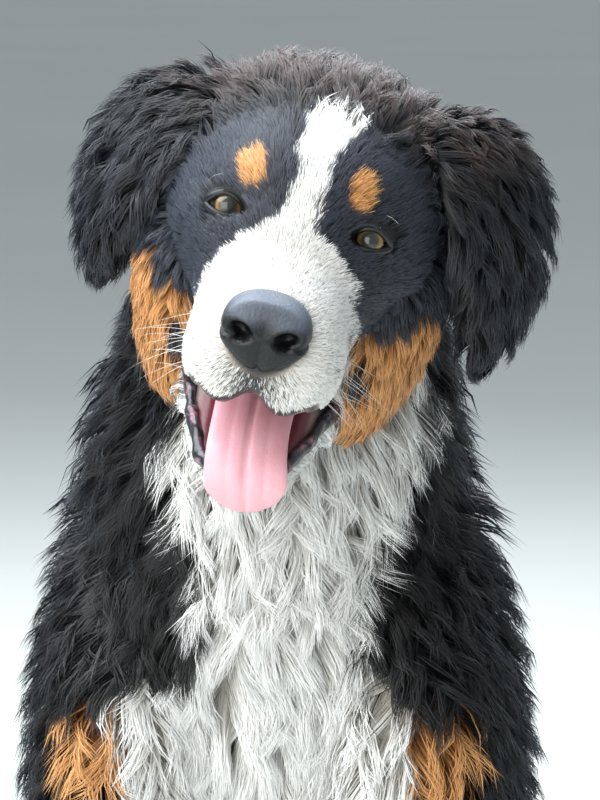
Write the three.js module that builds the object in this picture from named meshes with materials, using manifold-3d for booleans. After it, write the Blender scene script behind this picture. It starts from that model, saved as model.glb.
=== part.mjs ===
// A young Bernese mountain dog, sitting, mouth open and head tilted, as a life-size model.
// Millimetres, +Z up, facing -Y. Each part of the body is an oval tube along a line of named
// places, with its coat as flat, tapered locks.
import * as THREE from "three";
import { mergeVertices } from "three/addons/utils/BufferGeometryUtils.js";
import Module from "manifold-3d";

const wasm = await Module();
wasm.setup();

// Driving dimensions
const eyeHeight = 600; // floor to the line between the eyes
const pupilGap = 70;
const chestWidth = 184; // bare, between the shoulders
const gap = 0.3; // left between touching pieces
const headTilt = 13.5; // degrees, the crown leaning to +X
const headNod = 15; // degrees, the muzzle below level
const headTurn = 4.5; // degrees, the muzzle to -X
const faceLean = 23; // degrees that the plane of the eyes leans back
const bodyTurn = 9; // degrees, the rump to +X
const midEye = [15, -215, eyeHeight];
const chestPivot = [0, -140, 0];
const bodyShift = -8;
const centring = [-22, -11, 0]; // brings the middle of the whole to the origin

const acrossX = new THREE.Vector3(1, 0, 0);
const degrees = Math.PI / 180;

// Where the head and the body stand in the whole
const centred = new THREE.Matrix4().makeTranslation(...centring);
const headPlace = new THREE.Matrix4()
  .makeRotationFromEuler(
    new THREE.Euler(headNod * degrees, headTilt * degrees, -headTurn * degrees, "ZYX"),
  )
  .setPosition(...midEye)
  .premultiply(centred);
const bodyPlace = new THREE.Matrix4()
  .makeTranslation(...chestPivot)
  .multiply(new THREE.Matrix4().makeTranslation(bodyShift, 0, 0))
  .multiply(new THREE.Matrix4().makeRotationZ(-bodyTurn * degrees))
  .multiply(new THREE.Matrix4().makeTranslation(...chestPivot.map((v) => -v)))
  .premultiply(centred);

// The dense inner coat that a core takes in, for a coat of the given depth
const coreDepth = (fur) => Math.min(fur, 2 + 0.3 * fur);

const smoothLine = (points) => new THREE.CatmullRomCurve3(points, false, "catmullrom", 0.5);

// An oval tube along a smooth line through places {at, wide, deep, square, fur}, rounded at both ends.
// wide runs along side, deep along side x line, square is the power of the section's superellipse,
// and fur is the depth of the coat over the bare flesh.
class Tube {
  constructor(places, options = {}) {
    const { side = acrossX, domes = [0.12, 0.12], mould = null, place = bodyPlace } = options;
    this.line = smoothLine(places.map(({ at }) => new THREE.Vector3(...at)));
    this.sizes = smoothLine(places.map((p) => new THREE.Vector3(p.wide, p.deep, p.square ?? 2)));
    this.furs = smoothLine(places.map((p) => new THREE.Vector3(p.fur ?? 0, 0, 0)));
    Object.assign(this, { side, domes, mould, place });
    this.unplace = place.clone().invert();
    this.length = this.line.getLength();
    this.samples = Array.from({ length: 25 }, (_, i) => {
      const t = i / 24;
      return { t, ...this.frame(t) };
    });
    this.widest = Math.max(...this.samples.map(({ size, fur }) => Math.max(size.x, size.y) + fur));
  }

  rounding(t) {
    const [start, end] = this.domes;
    const near = Math.min(1, t / start, (1 - t) / end);
    return Math.sqrt(Math.max(0, 1 - (1 - near) ** 2));
  }

  frame(t) {
    const along = this.line.getTangent(t);
    const deepAxis = this.side.clone().cross(along).normalize();
    const wideAxis = along.clone().cross(deepAxis).normalize();
    const size = this.sizes.getPoint(t);
    const fur = Math.max(0, this.furs.getPoint(t).x);
    const core = coreDepth(fur);
    const beyond = 1 - Math.min(1, t / this.domes[0], (1 - t) / this.domes[1]);
    const centre = this.line.getPoint(t).addScaledVector(along, (t < 0.5 ? -1 : 1) * core * beyond);
    return { along, deepAxis, wideAxis, size, fur, core, centre };
  }

  // The core's surface point at share t of the line and angle turn round it
  point(t, turn) {
    const { deepAxis, wideAxis, size, core, centre } = this.frame(t);
    const round = this.rounding(t);
    const power = 2 / size.z;
    const c = Math.cos(turn);
    const s = Math.sin(turn);
    const x = Math.sign(c) * Math.abs(c) ** power * (size.x + core) * round;
    const y = Math.sign(s) * Math.abs(s) ** power * (size.y + core) * round;
    const p = centre.clone().addScaledVector(wideAxis, x).addScaledVector(deepAxis, y);
    if (this.mould) this.mould(p, centre);
    return p.applyMatrix4(this.place);
  }

  // The share of the line whose section passes nearest to a point
  nearest(local) {
    const near = this.samples.reduce((a, b) =>
      local.distanceToSquared(b.centre) < local.distanceToSquared(a.centre) ? b : a,
    );
    const ahead = local.clone().sub(near.centre).dot(near.along);
    return THREE.MathUtils.clamp(near.t + ahead / this.length, 0, 1);
  }

  // Height of a point over the core, measured in the section nearest to it
  height(p) {
    const local = p.clone().applyMatrix4(this.unplace);
    const far = Math.min(...this.samples.map((s) => local.distanceTo(s.centre))) - this.widest;
    if (far > 80) return far;
    const t = this.nearest(local);
    const { along, deepAxis, wideAxis, size, core, centre } = this.frame(t);
    const out = local.sub(centre);
    const x = out.dot(wideAxis);
    const y = out.dot(deepAxis);
    const past = Math.abs(out.dot(along));
    const round = Math.max(0.05, this.rounding(t));
    const wide = (size.x + core) * round;
    const deep = (size.y + core) * round;
    const power = size.z;
    const sum = (Math.abs(x) / wide) ** power + (Math.abs(y) / deep) ** power;
    const share = Math.max(1e-3, sum ** (1 / power));
    const rate = Math.hypot(
      Math.abs(x / share) ** (power - 1) / wide ** power,
      Math.abs(y / share) ** (power - 1) / deep ** power,
    );
    const across = (share - 1) / Math.max(rate, 1 / Math.max(wide, deep));
    return past > 2 ? Math.hypot(Math.max(0, across), past) : across;
  }

  // The direction of the line beside a point
  flow(p) {
    const local = p.clone().applyMatrix4(this.unplace);
    return this.line.getTangent(this.nearest(local)).transformDirection(this.place);
  }

  solid(sides, rings) {
    const [start, end] = this.domes;
    const capRings = 2;
    const shares = [];
    const cap = (i) => 1 - Math.cos((i / capRings) * 90 * degrees);
    for (let i = 1; i <= capRings; i++) shares.push(start * cap(i));
    for (let i = 1; i < rings; i++) shares.push(start + ((1 - start - end) * i) / rings);
    for (let i = capRings; i >= 1; i--) shares.push(1 - end * cap(i));
    const points = [this.point(0, 0)];
    for (const t of shares)
      for (let i = 0; i < sides; i++) points.push(this.point(t, (i / sides) * 360 * degrees));
    points.push(this.point(1, 0));
    const faces = [];
    const last = points.length - 1;
    for (let i = 0; i < sides; i++) {
      const next = (i + 1) % sides;
      faces.push([0, 1 + next, 1 + i]);
      for (let r = 0; r < shares.length - 1; r++) {
        const a = 1 + r * sides;
        const b = a + sides;
        faces.push([a + i, a + next, b + next], [a + i, b + next, b + i]);
      }
      faces.push([last, last - sides + i, last - sides + next]);
    }
    return closed(points, faces);
  }
}

// A closed solid from corner points and triangles, turned to face outwards
function closed(points, faces) {
  const vertProperties = new Float32Array(points.flatMap((p) => [p.x, p.y, p.z]));
  const make = (list) => {
    const triVerts = new Uint32Array(list.flat());
    return new wasm.Manifold(new wasm.Mesh({ numProp: 3, vertProperties, triVerts }));
  };
  const made = make(faces);
  return made.volume() > 0 ? made : make(faces.map(([a, b, c]) => [a, c, b]));
}

// A three.js geometry as a solid
function solidOf(geometry, matrix) {
  const bare = geometry.clone().applyMatrix4(matrix);
  bare.deleteAttribute("normal");
  bare.deleteAttribute("uv");
  const merged = mergeVertices(bare, 1e-3);
  return new wasm.Manifold(
    new wasm.Mesh({
      numProp: 3,
      vertProperties: merged.attributes.position.array,
      triVerts: new Uint32Array(merged.index.array),
    }),
  );
}

// The solid with its faces moved out by a distance: the room that a neighbour leaves free
function swollen(solid, by = gap) {
  const mesh = solid.getMesh();
  const corner = (i) => new THREE.Vector3().fromArray(mesh.vertProperties, i * mesh.numProp);
  const points = Array.from({ length: mesh.numVert }, (_, i) => corner(i));
  const faces = [];
  const around = points.map(() => []);
  for (let f = 0; f < mesh.numTri; f++) {
    const face = Array.from(mesh.triVerts.subarray(f * 3, f * 3 + 3));
    const [a, b, c] = face.map((i) => points[i]);
    const across = b.clone().sub(a).cross(c.clone().sub(a));
    const area = across.length();
    const normal = across.divideScalar(Math.max(area, 1e-12));
    if (area > 1e-9) face.forEach((i) => around[i].push({ normal, area }));
    faces.push(face);
  }
  const moved = points.map((p, i) => {
    const mean = new THREE.Vector3();
    around[i].forEach(({ normal, area }) => mean.addScaledVector(normal, area));
    if (mean.length() < 1e-9) return p;
    mean.normalize();
    const facing = Math.min(...around[i].map(({ normal }) => normal.dot(mean)));
    return p.clone().addScaledVector(mean, by / Math.max(0.25, facing));
  });
  return closed(moved, faces);
}

function largest(solid) {
  return solid.decompose().reduce((a, b) => (b.volume() > a.volume() ? b : a));
}

function cutClear(solid, ...others) {
  return largest(others.reduce((left, other) => left.subtract(other), solid));
}

// The floor as a slab below z = 0
const floor = solidOf(
  new THREE.BoxGeometry(3000, 3000, 200),
  new THREE.Matrix4().makeTranslation(0, 0, -100),
);

const gauss = (p, [x, y, z], radius) =>
  Math.exp(-((Math.abs(p.x) - x) ** 2 + (p.y - y) ** 2 + (p.z - z) ** 2) / radius ** 2);
const smooth = (x, low, high) => THREE.MathUtils.smoothstep(x, low, high);

// Head: sections from the nape to the front of the muzzle, in a frame whose origin lies
// between the eyes
const eyeSocket = [pupilGap / 2, -10, 0];
const headPlaces = [
  { at: [0, 112, -13], wide: 44, deep: 31, fur: 16 },
  { at: [0, 92, -14], wide: 57, deep: 47, square: 2.3, fur: 18 },
  { at: [0, 60, -14], wide: 64, deep: 59, square: 2.4, fur: 18 },
  { at: [0, 30, -15], wide: 64, deep: 63, square: 2.2, fur: 14 },
  { at: [0, 5, -18], wide: 58, deep: 60, fur: 8 },
  { at: [0, -12, -24.5], wide: 49, deep: 48.5, fur: 4 },
  { at: [0, -28, -33], wide: 41, deep: 38, square: 2.2, fur: 3 },
  { at: [0, -45, -39.5], wide: 37, deep: 34.5, square: 2.4, fur: 3 },
  { at: [0, -62, -42], wide: 36, deep: 33, square: 2.5, fur: 3 },
  { at: [0, -78, -42], wide: 32, deep: 30, square: 2.4, fur: 3 },
  { at: [0, -90, -39], wide: 26, deep: 22, square: 2.2, fur: 2 },
];
// Swellings and hollows of the head: centre on the +X side, radius, and push from the middle
const headForms = [
  { at: [27, -13, 23], radius: 15, push: 4 }, // brow
  { at: [0, -14, 14], radius: 13, push: -4 }, // stop
  { at: [0, 4, 44], radius: 14, push: -2.5 }, // furrow of the forehead
  { at: eyeSocket, radius: 13, push: -5 },
  { at: [50, 6, -24], radius: 24, push: 4 }, // cheekbone
  { at: [26, -34, -14], radius: 15, push: -4 }, // hollow beside the bridge
  { at: [27, -64, -60], radius: 18, push: 4 }, // flew
];
const mouthRoof = { halfWidth: 27, back: 12, front: -80, lift: 24 };

function mouldHead(p, centre) {
  const out = p.clone().sub(centre);
  out.y = 0;
  if (out.length() < 1e-6) return;
  out.normalize();
  const push = headForms.reduce((sum, f) => sum + f.push * gauss(p, f.at, f.radius), 0);
  p.addScaledVector(out, push);
  const under = smooth(centre.z - p.z, 8, 22);
  const inside = Math.max(0, 1 - (p.x / mouthRoof.halfWidth) ** 2);
  const reach = smooth(-p.y, -mouthRoof.back, -mouthRoof.back + 30) * (1 - smooth(-p.y, 74, 84));
  p.z += mouthRoof.lift * under * inside * reach;
  p.z += 12 * under * Math.exp(-((p.x / 9) ** 2)) * smooth(-p.y, 74, 86);
}

const head = new Tube(headPlaces, {
  domes: [0.1, 0.06],
  mould: mouldHead,
  place: headPlace,
});

// Full cheek: from the temple down over the corner of the mouth to the throat
const cheek = (side) =>
  new Tube(
    [
      { at: [side * 42, 38, -12], wide: 22, deep: 30, fur: 10 },
      { at: [side * 47, 28, -40], wide: 25, deep: 33, fur: 11 },
      { at: [side * 45, 22, -66], wide: 23, deep: 31, fur: 12 },
      { at: [side * 39, 19, -92], wide: 18, deep: 26, fur: 12 },
      { at: [side * 31, 18, -112], wide: 11, deep: 17, fur: 12 },
    ],
    { domes: [0.14, 0.16], place: headPlace },
  );

// Lower jaw, let down by the open mouth, with a trough for the tongue
const jaw = new Tube(
  [
    { at: [0, 52, -52], wide: 40, deep: 18, fur: 16 },
    { at: [0, 18, -80], wide: 42, deep: 20, fur: 12 },
    { at: [0, -12, -95], wide: 36, deep: 17, fur: 8 },
    { at: [0, -38, -106], wide: 27, deep: 13, fur: 6 },
    { at: [0, -58, -112], wide: 19, deep: 10, fur: 4 },
    { at: [0, -68, -113], wide: 14, deep: 8, fur: 3 },
  ],
  {
    domes: [0.1, 0.12],
    place: headPlace,
    mould: (p, centre) => {
      const above = smooth(p.z - centre.z, 2, 9);
      const along = smooth(-p.y, -30, -5) * (1 - smooth(-p.y, 50, 62));
      p.z -= 9 * above * Math.max(0, 1 - (p.x / 22) ** 2) * along;
    },
  },
);

// Tongue: out over the lower lip and down, with its middle groove
const tongue = new Tube(
  [
    { at: [0, -2, -76], wide: 17, deep: 5 },
    { at: [0, -30, -82], wide: 19, deep: 5 },
    { at: [1, -54, -89], wide: 19, deep: 4.5 },
    { at: [3, -70, -98], wide: 19.5, deep: 4.5 },
    { at: [6, -77, -110], wide: 20, deep: 4 },
    { at: [9, -77, -124], wide: 17, deep: 3 },
  ],
  { domes: [0.1, 0.16], place: headPlace },
);

// Nose leather with its two nostrils
const nose = new Tube(
  [
    { at: [0, -72, -28], wide: 18, deep: 17 },
    { at: [0, -82, -28], wide: 21, deep: 19, square: 2.3 },
    { at: [0, -92, -28], wide: 20, deep: 17, square: 2.3 },
    { at: [0, -98, -27], wide: 15, deep: 12, square: 2.2 },
  ],
  { domes: [0.2, 0.3], place: headPlace },
);

function nostril(side) {
  const hole = new Tube(
    [
      { at: [side * 11, -80, -28], wide: 2.5, deep: 3 },
      { at: [side * 10, -93, -29], wide: 4.5, deep: 4.5 },
      { at: [side * 12, -106, -30], wide: 6, deep: 5 },
    ],
    { place: headPlace },
  );
  return hole.solid(7, 2);
}

// Eye and lids, square to the leaning plane of the face
const eyeRadius = 11;
const lidRadius = 2.2;
const eyeDepth = -12; // the ball's centre, ahead of the origin
const eyeLift = 0.4; // and above it
const lidsOutward = 1.4; // the middle of the open lids, from the middle of the ball
const faceUp = new THREE.Vector3(0, Math.sin(faceLean * degrees), Math.cos(faceLean * degrees));
const faceForward = new THREE.Vector3(0, -Math.cos(faceLean * degrees), Math.sin(faceLean * degrees));
const eyeMiddle = (side) => new THREE.Vector3((side * pupilGap) / 2, eyeDepth, eyeLift);
const eyeBall = (side, radius) =>
  solidOf(
    new THREE.SphereGeometry(radius, 12, 8),
    new THREE.Matrix4().makeTranslation(...eyeMiddle(side)).premultiply(headPlace),
  );

// The almond opening in front of the ball
function eyeOpening(side) {
  const ahead = (distance) =>
    eyeMiddle(side).addScaledVector(faceForward, distance).addScaledVector(acrossX, side * lidsOutward);
  const opening = new Tube(
    [
      { at: ahead(-3), wide: 9.4, deep: 6 },
      { at: ahead(9), wide: 10, deep: 6.4 },
      { at: ahead(40), wide: 14, deep: 11 },
    ],
    { place: headPlace },
  );
  return opening.solid(10, 1);
}

// A closed ring of lid round the almond of the open eye
function lidRing(side) {
  const points = [];
  const steps = 12;
  for (let i = 0; i < steps; i++) {
    const turn = (i / steps) * 360 * degrees;
    const across = 10.4 * Math.cos(turn);
    const up = 7.4 * Math.sin(turn) * (1 - 0.25 * Math.cos(turn) ** 2);
    const ahead = Math.sqrt(Math.max(20, (eyeRadius + 1) ** 2 - across ** 2 - up ** 2));
    const sideways = side * (across + lidsOutward);
    const point = eyeMiddle(side).addScaledVector(acrossX, sideways);
    points.push(point.addScaledVector(faceUp, up).addScaledVector(faceForward, ahead));
  }
  const curve = new THREE.CatmullRomCurve3(points, true);
  const section = 4;
  const rings = 12;
  const frames = curve.computeFrenetFrames(rings, true);
  const corners = [];
  for (let r = 0; r < rings; r++) {
    const centre = curve.getPointAt(r / rings);
    for (let i = 0; i < section; i++) {
      const turn = (i / section) * 360 * degrees;
      corners.push(
        centre
          .clone()
          .addScaledVector(frames.normals[r], lidRadius * Math.cos(turn))
          .addScaledVector(frames.binormals[r], lidRadius * Math.sin(turn))
          .applyMatrix4(headPlace),
      );
    }
  }
  const faces = [];
  for (let r = 0; r < rings; r++)
    for (let i = 0; i < section; i++) {
      const a = r * section + i;
      const b = r * section + ((i + 1) % section);
      const c = ((r + 1) % rings) * section + i;
      const d = ((r + 1) % rings) * section + ((i + 1) % section);
      faces.push([a, b, d], [a, d, c]);
    }
  return closed(corners, faces);
}

// Hanging ear: a leaf folded over at the top, cupped round towards the cheek. The ears hang a little
// unevenly: each is moved outwards, and up by one amount at its root and another at its tip.
const earCup = 5;
const earShifts = { right: { out: -1, root: -6, tip: -11 }, left: { out: 4, root: 8, tip: -12 } };
const earTube = ({ name, sign }) => {
  const { out, root, tip } = earShifts[name];
  const across = new THREE.Vector3(sign * 0.6, 0.8, 0);
  const places = [
    { at: [42, 62, 16], wide: 17, deep: 9, fur: 8 },
    { at: [62, 58, 29], wide: 27, deep: 8, fur: 10 },
    { at: [82, 51, 18], wide: 33, deep: 6, fur: 13 },
    { at: [94, 44, -8], wide: 31, deep: 4, fur: 13 },
    { at: [97, 39, -33], wide: 19, deep: 4, fur: 12 },
    { at: [95, 35, -58], wide: 8, deep: 3, fur: 10 },
  ];
  const last = places.length - 1;
  const shifted = places.map(({ at: [x, y, z], ...sizes }, i) => ({
    at: [sign * (x + out), y, z + THREE.MathUtils.lerp(root, tip, i / last)],
    ...sizes,
  }));
  return new Tube(shifted, {
    side: across,
    domes: [0.1, 0.14],
    place: headPlace,
    mould: (p, centre) => {
      const over = p.clone().sub(centre).dot(across) / 35;
      p.x -= sign * earCup * over ** 2;
    },
  });
};

// Neck and torso: one line from the seat to the poll, parted at the withers
const torso = new Tube(
  [
    { at: [0, 178, -6], wide: 74, deep: 60, fur: 28 },
    { at: [0, 162, 70], wide: 86, deep: 76, fur: 30 },
    { at: [0, 124, 148], wide: 88, deep: 84, fur: 30 },
    { at: [0, 72, 216], wide: 84, deep: 88, fur: 28 },
    { at: [0, 14, 284], wide: 88, deep: 97, fur: 28 },
    { at: [0, -34, 344], wide: chestWidth / 2, deep: 102, fur: 30 },
    { at: [0, -64, 402], wide: 88, deep: 94, fur: 32 },
    { at: [0, -80, 452], wide: 70, deep: 76, fur: 32 },
  ],
  { domes: [0.08, 0.1] },
);
const neck = new Tube(
  [
    { at: [0, -62, 396], wide: 80, deep: 86, fur: 34 },
    { at: [0, -80, 452], wide: 74, deep: 80, fur: 34 },
    { at: [8, -98, 508], wide: 63, deep: 68, fur: 34 },
    { at: [17, -114, 552], wide: 55, deep: 58, fur: 30 },
    { at: [23, -122, 586], wide: 46, deep: 46, fur: 24 },
  ],
  { domes: [0.2, 0.15] },
);

// Foreleg: shoulder and upper arm, forearm, paw
const upperArmOut = (side) => (side > 0 ? 6 : 0); // the left elbow stands off a little more
const shoulder = (side) =>
  new Tube(
    [
      { at: [side * 42, -30, 440], wide: 26, deep: 40, fur: 24 },
      { at: [side * 62, -62, 385], wide: 36, deep: 56, fur: 26 },
      { at: [side * (67 + upperArmOut(side)), -88, 330], wide: 38, deep: 62, fur: 28 },
      { at: [side * (72 + upperArmOut(side)), -84, 275], wide: 35, deep: 52, fur: 26 },
      { at: [side * (72 + upperArmOut(side) / 2), -76, 232], wide: 30, deep: 36, fur: 18 },
    ],
    { domes: [0.2, 0.12] },
  );
const forearm = (side) =>
  new Tube(
    [
      { at: [side * 71, -76, 262], wide: 30, deep: 34, fur: 14 },
      { at: [side * 68, -86, 205], wide: 27, deep: 30, fur: 12 },
      { at: [side * 65, -102, 150], wide: 24, deep: 25, fur: 10 },
      { at: [side * 63, -114, 98], wide: 23, deep: 23, fur: 8 },
      { at: [side * 63, -120, 58], wide: 22, deep: 22, fur: 6 },
      { at: [side * 63, -128, 30], wide: 24, deep: 24, fur: 5 },
    ],
    { domes: [0.08, 0.1] },
  );

// A paw: a low rounded block whose front is grooved between four toes
const pawFur = 4;
function pawTube(heel, toes, width, height) {
  const from = new THREE.Vector3(...heel);
  const to = new THREE.Vector3(...toes);
  const at = (share, z) => [
    THREE.MathUtils.lerp(from.x, to.x, share),
    THREE.MathUtils.lerp(from.y, to.y, share),
    z,
  ];
  const ahead = to.clone().sub(from).setZ(0).normalize();
  const sideways = new THREE.Vector3(-ahead.y, ahead.x, 0);
  const toePitch = (width * 2) / 4;
  return new Tube(
    [
      { at: at(0, height * 0.42), wide: width * 0.72, deep: height * 0.5, fur: pawFur },
      { at: at(0.35, height * 0.5), wide: width * 0.92, deep: height * 0.6, square: 2.3, fur: pawFur },
      { at: at(0.7, height * 0.42), wide: width, deep: height * 0.52, square: 2.4, fur: pawFur },
      { at: at(0.92, height * 0.32), wide: width * 0.86, deep: height * 0.42, square: 2.4, fur: pawFur },
      { at: at(1, height * 0.26), wide: width * 0.7, deep: height * 0.32, square: 2.2, fur: pawFur },
    ],
    {
      side: sideways,
      domes: [0.15, 0.2],
      mould: (p, centre) => {
        const fromHeel = p.clone().sub(from);
        const share = fromHeel.dot(ahead) / to.clone().sub(from).length();
        const over = fromHeel.dot(sideways);
        const toe = Math.abs(Math.sin((over / toePitch) * Math.PI));
        const depth = 5 * smooth(share, 0.45, 0.9) * (1 - toe ** 0.6);
        const out = p.clone().sub(centre).normalize();
        p.addScaledVector(out, -depth);
        p.addScaledVector(ahead, 7 * smooth(share, 0.75, 1) * (1 - (over / width) ** 2));
      },
    },
  );
}
const forepawForm = { heel: [63, -112], toes: [66, -182], width: 31, height: 44 };
const hindpawForm = { heel: [116, 44], toes: [126, -28], width: 29, height: 38 };
const paw = (side, { heel, toes, width, height }) =>
  pawTube([side * heel[0], heel[1], 0], [side * toes[0], toes[1], 0], width, height);

// Four claws: short curved cones, one at the front of each toe
function claws(side, { heel, toes, width, height }) {
  const ahead = new THREE.Vector3(side * (toes[0] - heel[0]), toes[1] - heel[1], 0).normalize();
  const sideways = new THREE.Vector3(-ahead.y, ahead.x, 0);
  return [-0.72, -0.26, 0.26, 0.72].map((share) => {
    const base = new THREE.Vector3(side * toes[0], toes[1], height * 0.34)
      .addScaledVector(sideways, share * width)
      .addScaledVector(ahead, 8 - 14 * share ** 2);
    const down = (forward, drop) => base.clone().addScaledVector(ahead, forward).setZ(base.z - drop);
    const claw = new Tube(
      [
        { at: down(-4, -1), wide: 2.8, deep: 3.2 },
        { at: down(4, 2), wide: 2.4, deep: 2.8 },
        { at: down(9, 8), wide: 1, deep: 1.2 },
      ],
      { side: sideways, domes: [0.1, 0.2] },
    );
    return claw.solid(5, 2);
  });
}

// Hind leg folded under: thigh, shank down to the heel, paw flat on the floor
const thigh = (side) =>
  new Tube(
    [
      { at: [side * 48, 168, 118], wide: 44, deep: 68, fur: 26 },
      { at: [side * 72, 130, 130], wide: 46, deep: 80, fur: 28 },
      { at: [side * 94, 78, 138], wide: 42, deep: 72, fur: 28 },
      { at: [side * 106, 34, 136], wide: 34, deep: 54, fur: 26 },
      { at: [side * 110, 6, 128], wide: 26, deep: 38, fur: 22 },
    ],
    { domes: [0.14, 0.16] },
  );
const shank = (side) =>
  new Tube(
    [
      { at: [side * 108, 24, 96], wide: 28, deep: 34, fur: 14 },
      { at: [side * 106, 66, 70], wide: 26, deep: 30, fur: 12 },
      { at: [side * 104, 112, 42], wide: 21, deep: 22, fur: 10 },
      { at: [side * 104, 146, 20], wide: 18, deep: 18, fur: 8 },
    ],
    { domes: [0.1, 0.1] },
  );
const metatarsus = (side) =>
  new Tube(
    [
      { at: [side * 104, 148, 18], wide: 18, deep: 17, fur: 7 },
      { at: [side * 108, 112, 14], wide: 18, deep: 15, fur: 6 },
      { at: [side * 113, 70, 13], wide: 20, deep: 15, fur: 6 },
      { at: [side * 117, 32, 14], wide: 22, deep: 17, fur: 5 },
    ],
    { domes: [0.12, 0.08] },
  );

// Tail: off the croup, down to the floor and round to -X, in two lengths
const tailPlaces = [
  { at: [0, 196, 92], wide: 18, deep: 20, fur: 26 },
  { at: [-2, 236, 58], wide: 15, deep: 16, fur: 30 },
  { at: [-16, 270, 33], wide: 12, deep: 12, fur: 34 },
  { at: [-50, 292, 24], wide: 10, deep: 10, fur: 34 },
  { at: [-90, 290, 22], wide: 9, deep: 9, fur: 34 },
  { at: [-128, 268, 20], wide: 8, deep: 8, fur: 30 },
  { at: [-152, 238, 16], wide: 6, deep: 6, fur: 24 },
];
const tailAcross = new THREE.Vector3(-0.2, 0.1, 1).normalize();
const tailRoot = new Tube(tailPlaces.slice(0, 4), { domes: [0.1, 0.05] });
const tailTip = new Tube(tailPlaces.slice(2), { side: tailAcross, domes: [0.05, 0.3] });

const sides = [
  { name: "right", sign: -1 },
  { name: "left", sign: 1 },
];

// Cores: each is cut clear of those it meets and of the floor
const cores = new Map();
const flesh = [];

function addCore(name, tubes, whole, ...rooms) {
  const solid = cutClear(whole, ...rooms);
  cores.set(name, { solid, whole });
  flesh.push(...tubes);
}
const room = (name) => swollen(cores.get(name).whole);

const withClaws = (tube, side, form) =>
  claws(side, form).reduce((whole, claw) => whole.add(claw), tube.solid(18, 4));

sides.forEach((s) => addCore(`eye_${s.name}`, [], eyeBall(s.sign, eyeRadius)));
const noseWhole = nose.solid(14, 4);
addCore("nose", [], sides.reduce((left, s) => left.subtract(nostril(s.sign)), noseWhole));
addCore("tongue", [], tongue.solid(10, 9));
const ears = sides.map(earTube);
sides.forEach((s, i) => addCore(`ear_${s.name}`, [ears[i]], ears[i].solid(10, 8)));
addCore("torso", [torso], torso.solid(16, 11), floor);
const earRooms = sides.map((s) => room(`ear_${s.name}`));
addCore("neck", [neck], neck.solid(14, 5), room("torso"), room("tongue"), ...earRooms);
addCore("jaw", [jaw], jaw.solid(12, 8), room("tongue"), room("neck"));
const cheeks = sides.map((s) => cheek(s.sign));
const headWhole = cheeks.reduce((whole, c) => whole.add(c.solid(12, 6)), head.solid(24, 17));
addCore(
  "head",
  [head, ...cheeks],
  sides
    .reduce((left, s) => left.subtract(eyeOpening(s.sign)), headWhole)
    .add(lidRing(-1))
    .add(lidRing(1)),
  ...sides.map((s) => eyeBall(s.sign, eyeRadius + gap)),
  swollen(noseWhole),
  room("tongue"),
  ...earRooms,
  room("neck"),
  room("jaw"),
);
for (const { name, sign } of sides) {
  const trunk = [room("torso"), room("neck")];
  addCore(`shoulder_${name}`, [shoulder(sign)], shoulder(sign).solid(12, 5), ...trunk);
  const forepaw = paw(sign, forepawForm);
  addCore(`forepaw_${name}`, [forepaw], withClaws(forepaw, sign, forepawForm), floor);
  const upper = [room("torso"), room(`shoulder_${name}`), room(`forepaw_${name}`)];
  addCore(`forearm_${name}`, [forearm(sign)], forearm(sign).solid(10, 5), ...upper);
  addCore(`thigh_${name}`, [thigh(sign)], thigh(sign).solid(12, 5), room("torso"), floor);
  const haunch = [room("torso"), room(`thigh_${name}`), floor];
  const hindpaw = paw(sign, hindpawForm);
  addCore(`hindpaw_${name}`, [hindpaw], withClaws(hindpaw, sign, hindpawForm), ...haunch);
  addCore(
    `shank_${name}`,
    [shank(sign), metatarsus(sign)],
    shank(sign).solid(9, 4).add(metatarsus(sign).solid(9, 3)),
    room(`hindpaw_${name}`),
    ...haunch,
  );
}
addCore("tail_root", [tailRoot], tailRoot.solid(9, 4), room("torso"), floor);
addCore("tail_tip", [tailTip], tailTip.solid(9, 5), room("tail_root"), room("torso"), floor);

// Coat: flat, tapered locks that lie down along each part and overlap
const seed = 7;
let dice = seed;
function random(low, high) {
  dice = (dice * 1664525 + 1013904223) % 4294967296;
  return low + ((high - low) * dice) / 4294967296;
}

const heightOver = (p) => Math.min(...flesh.map((tube) => tube.height(p)));

const axes = [acrossX, new THREE.Vector3(0, 1, 0), new THREE.Vector3(0, 0, 1)];

function slope(p) {
  const step = 1.5;
  const beside = (axis, distance) => heightOver(p.clone().addScaledVector(axis, distance));
  const change = axes.map((axis) => beside(axis, step) - beside(axis, -step));
  return new THREE.Vector3(...change).normalize();
}

// Moves a point along the slope until it stands at a height over the cores
function settle(p, height) {
  for (let i = 0; i < 2; i++) p.addScaledVector(slope(p), height - heightOver(p));
  return p;
}

// One lock: a ridge between two edges, wide at first and drawn to a point,
// rooted under the surface and rising to the coat's depth along its lie.
const lockShape = [
  { share: 0, rise: 0, width: 0.55, thick: 0.8 },
  { share: 0.28, rise: 0.32, width: 1, thick: 1 },
  { share: 0.58, rise: 0.62, width: 0.86, thick: 0.9 },
  { share: 0.84, rise: 0.88, width: 0.46, thick: 0.6 },
];
const rootDepth = 6;
const sharpestTurn = 0.45; // cosine of the most that a lock folds from ring to ring

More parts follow.
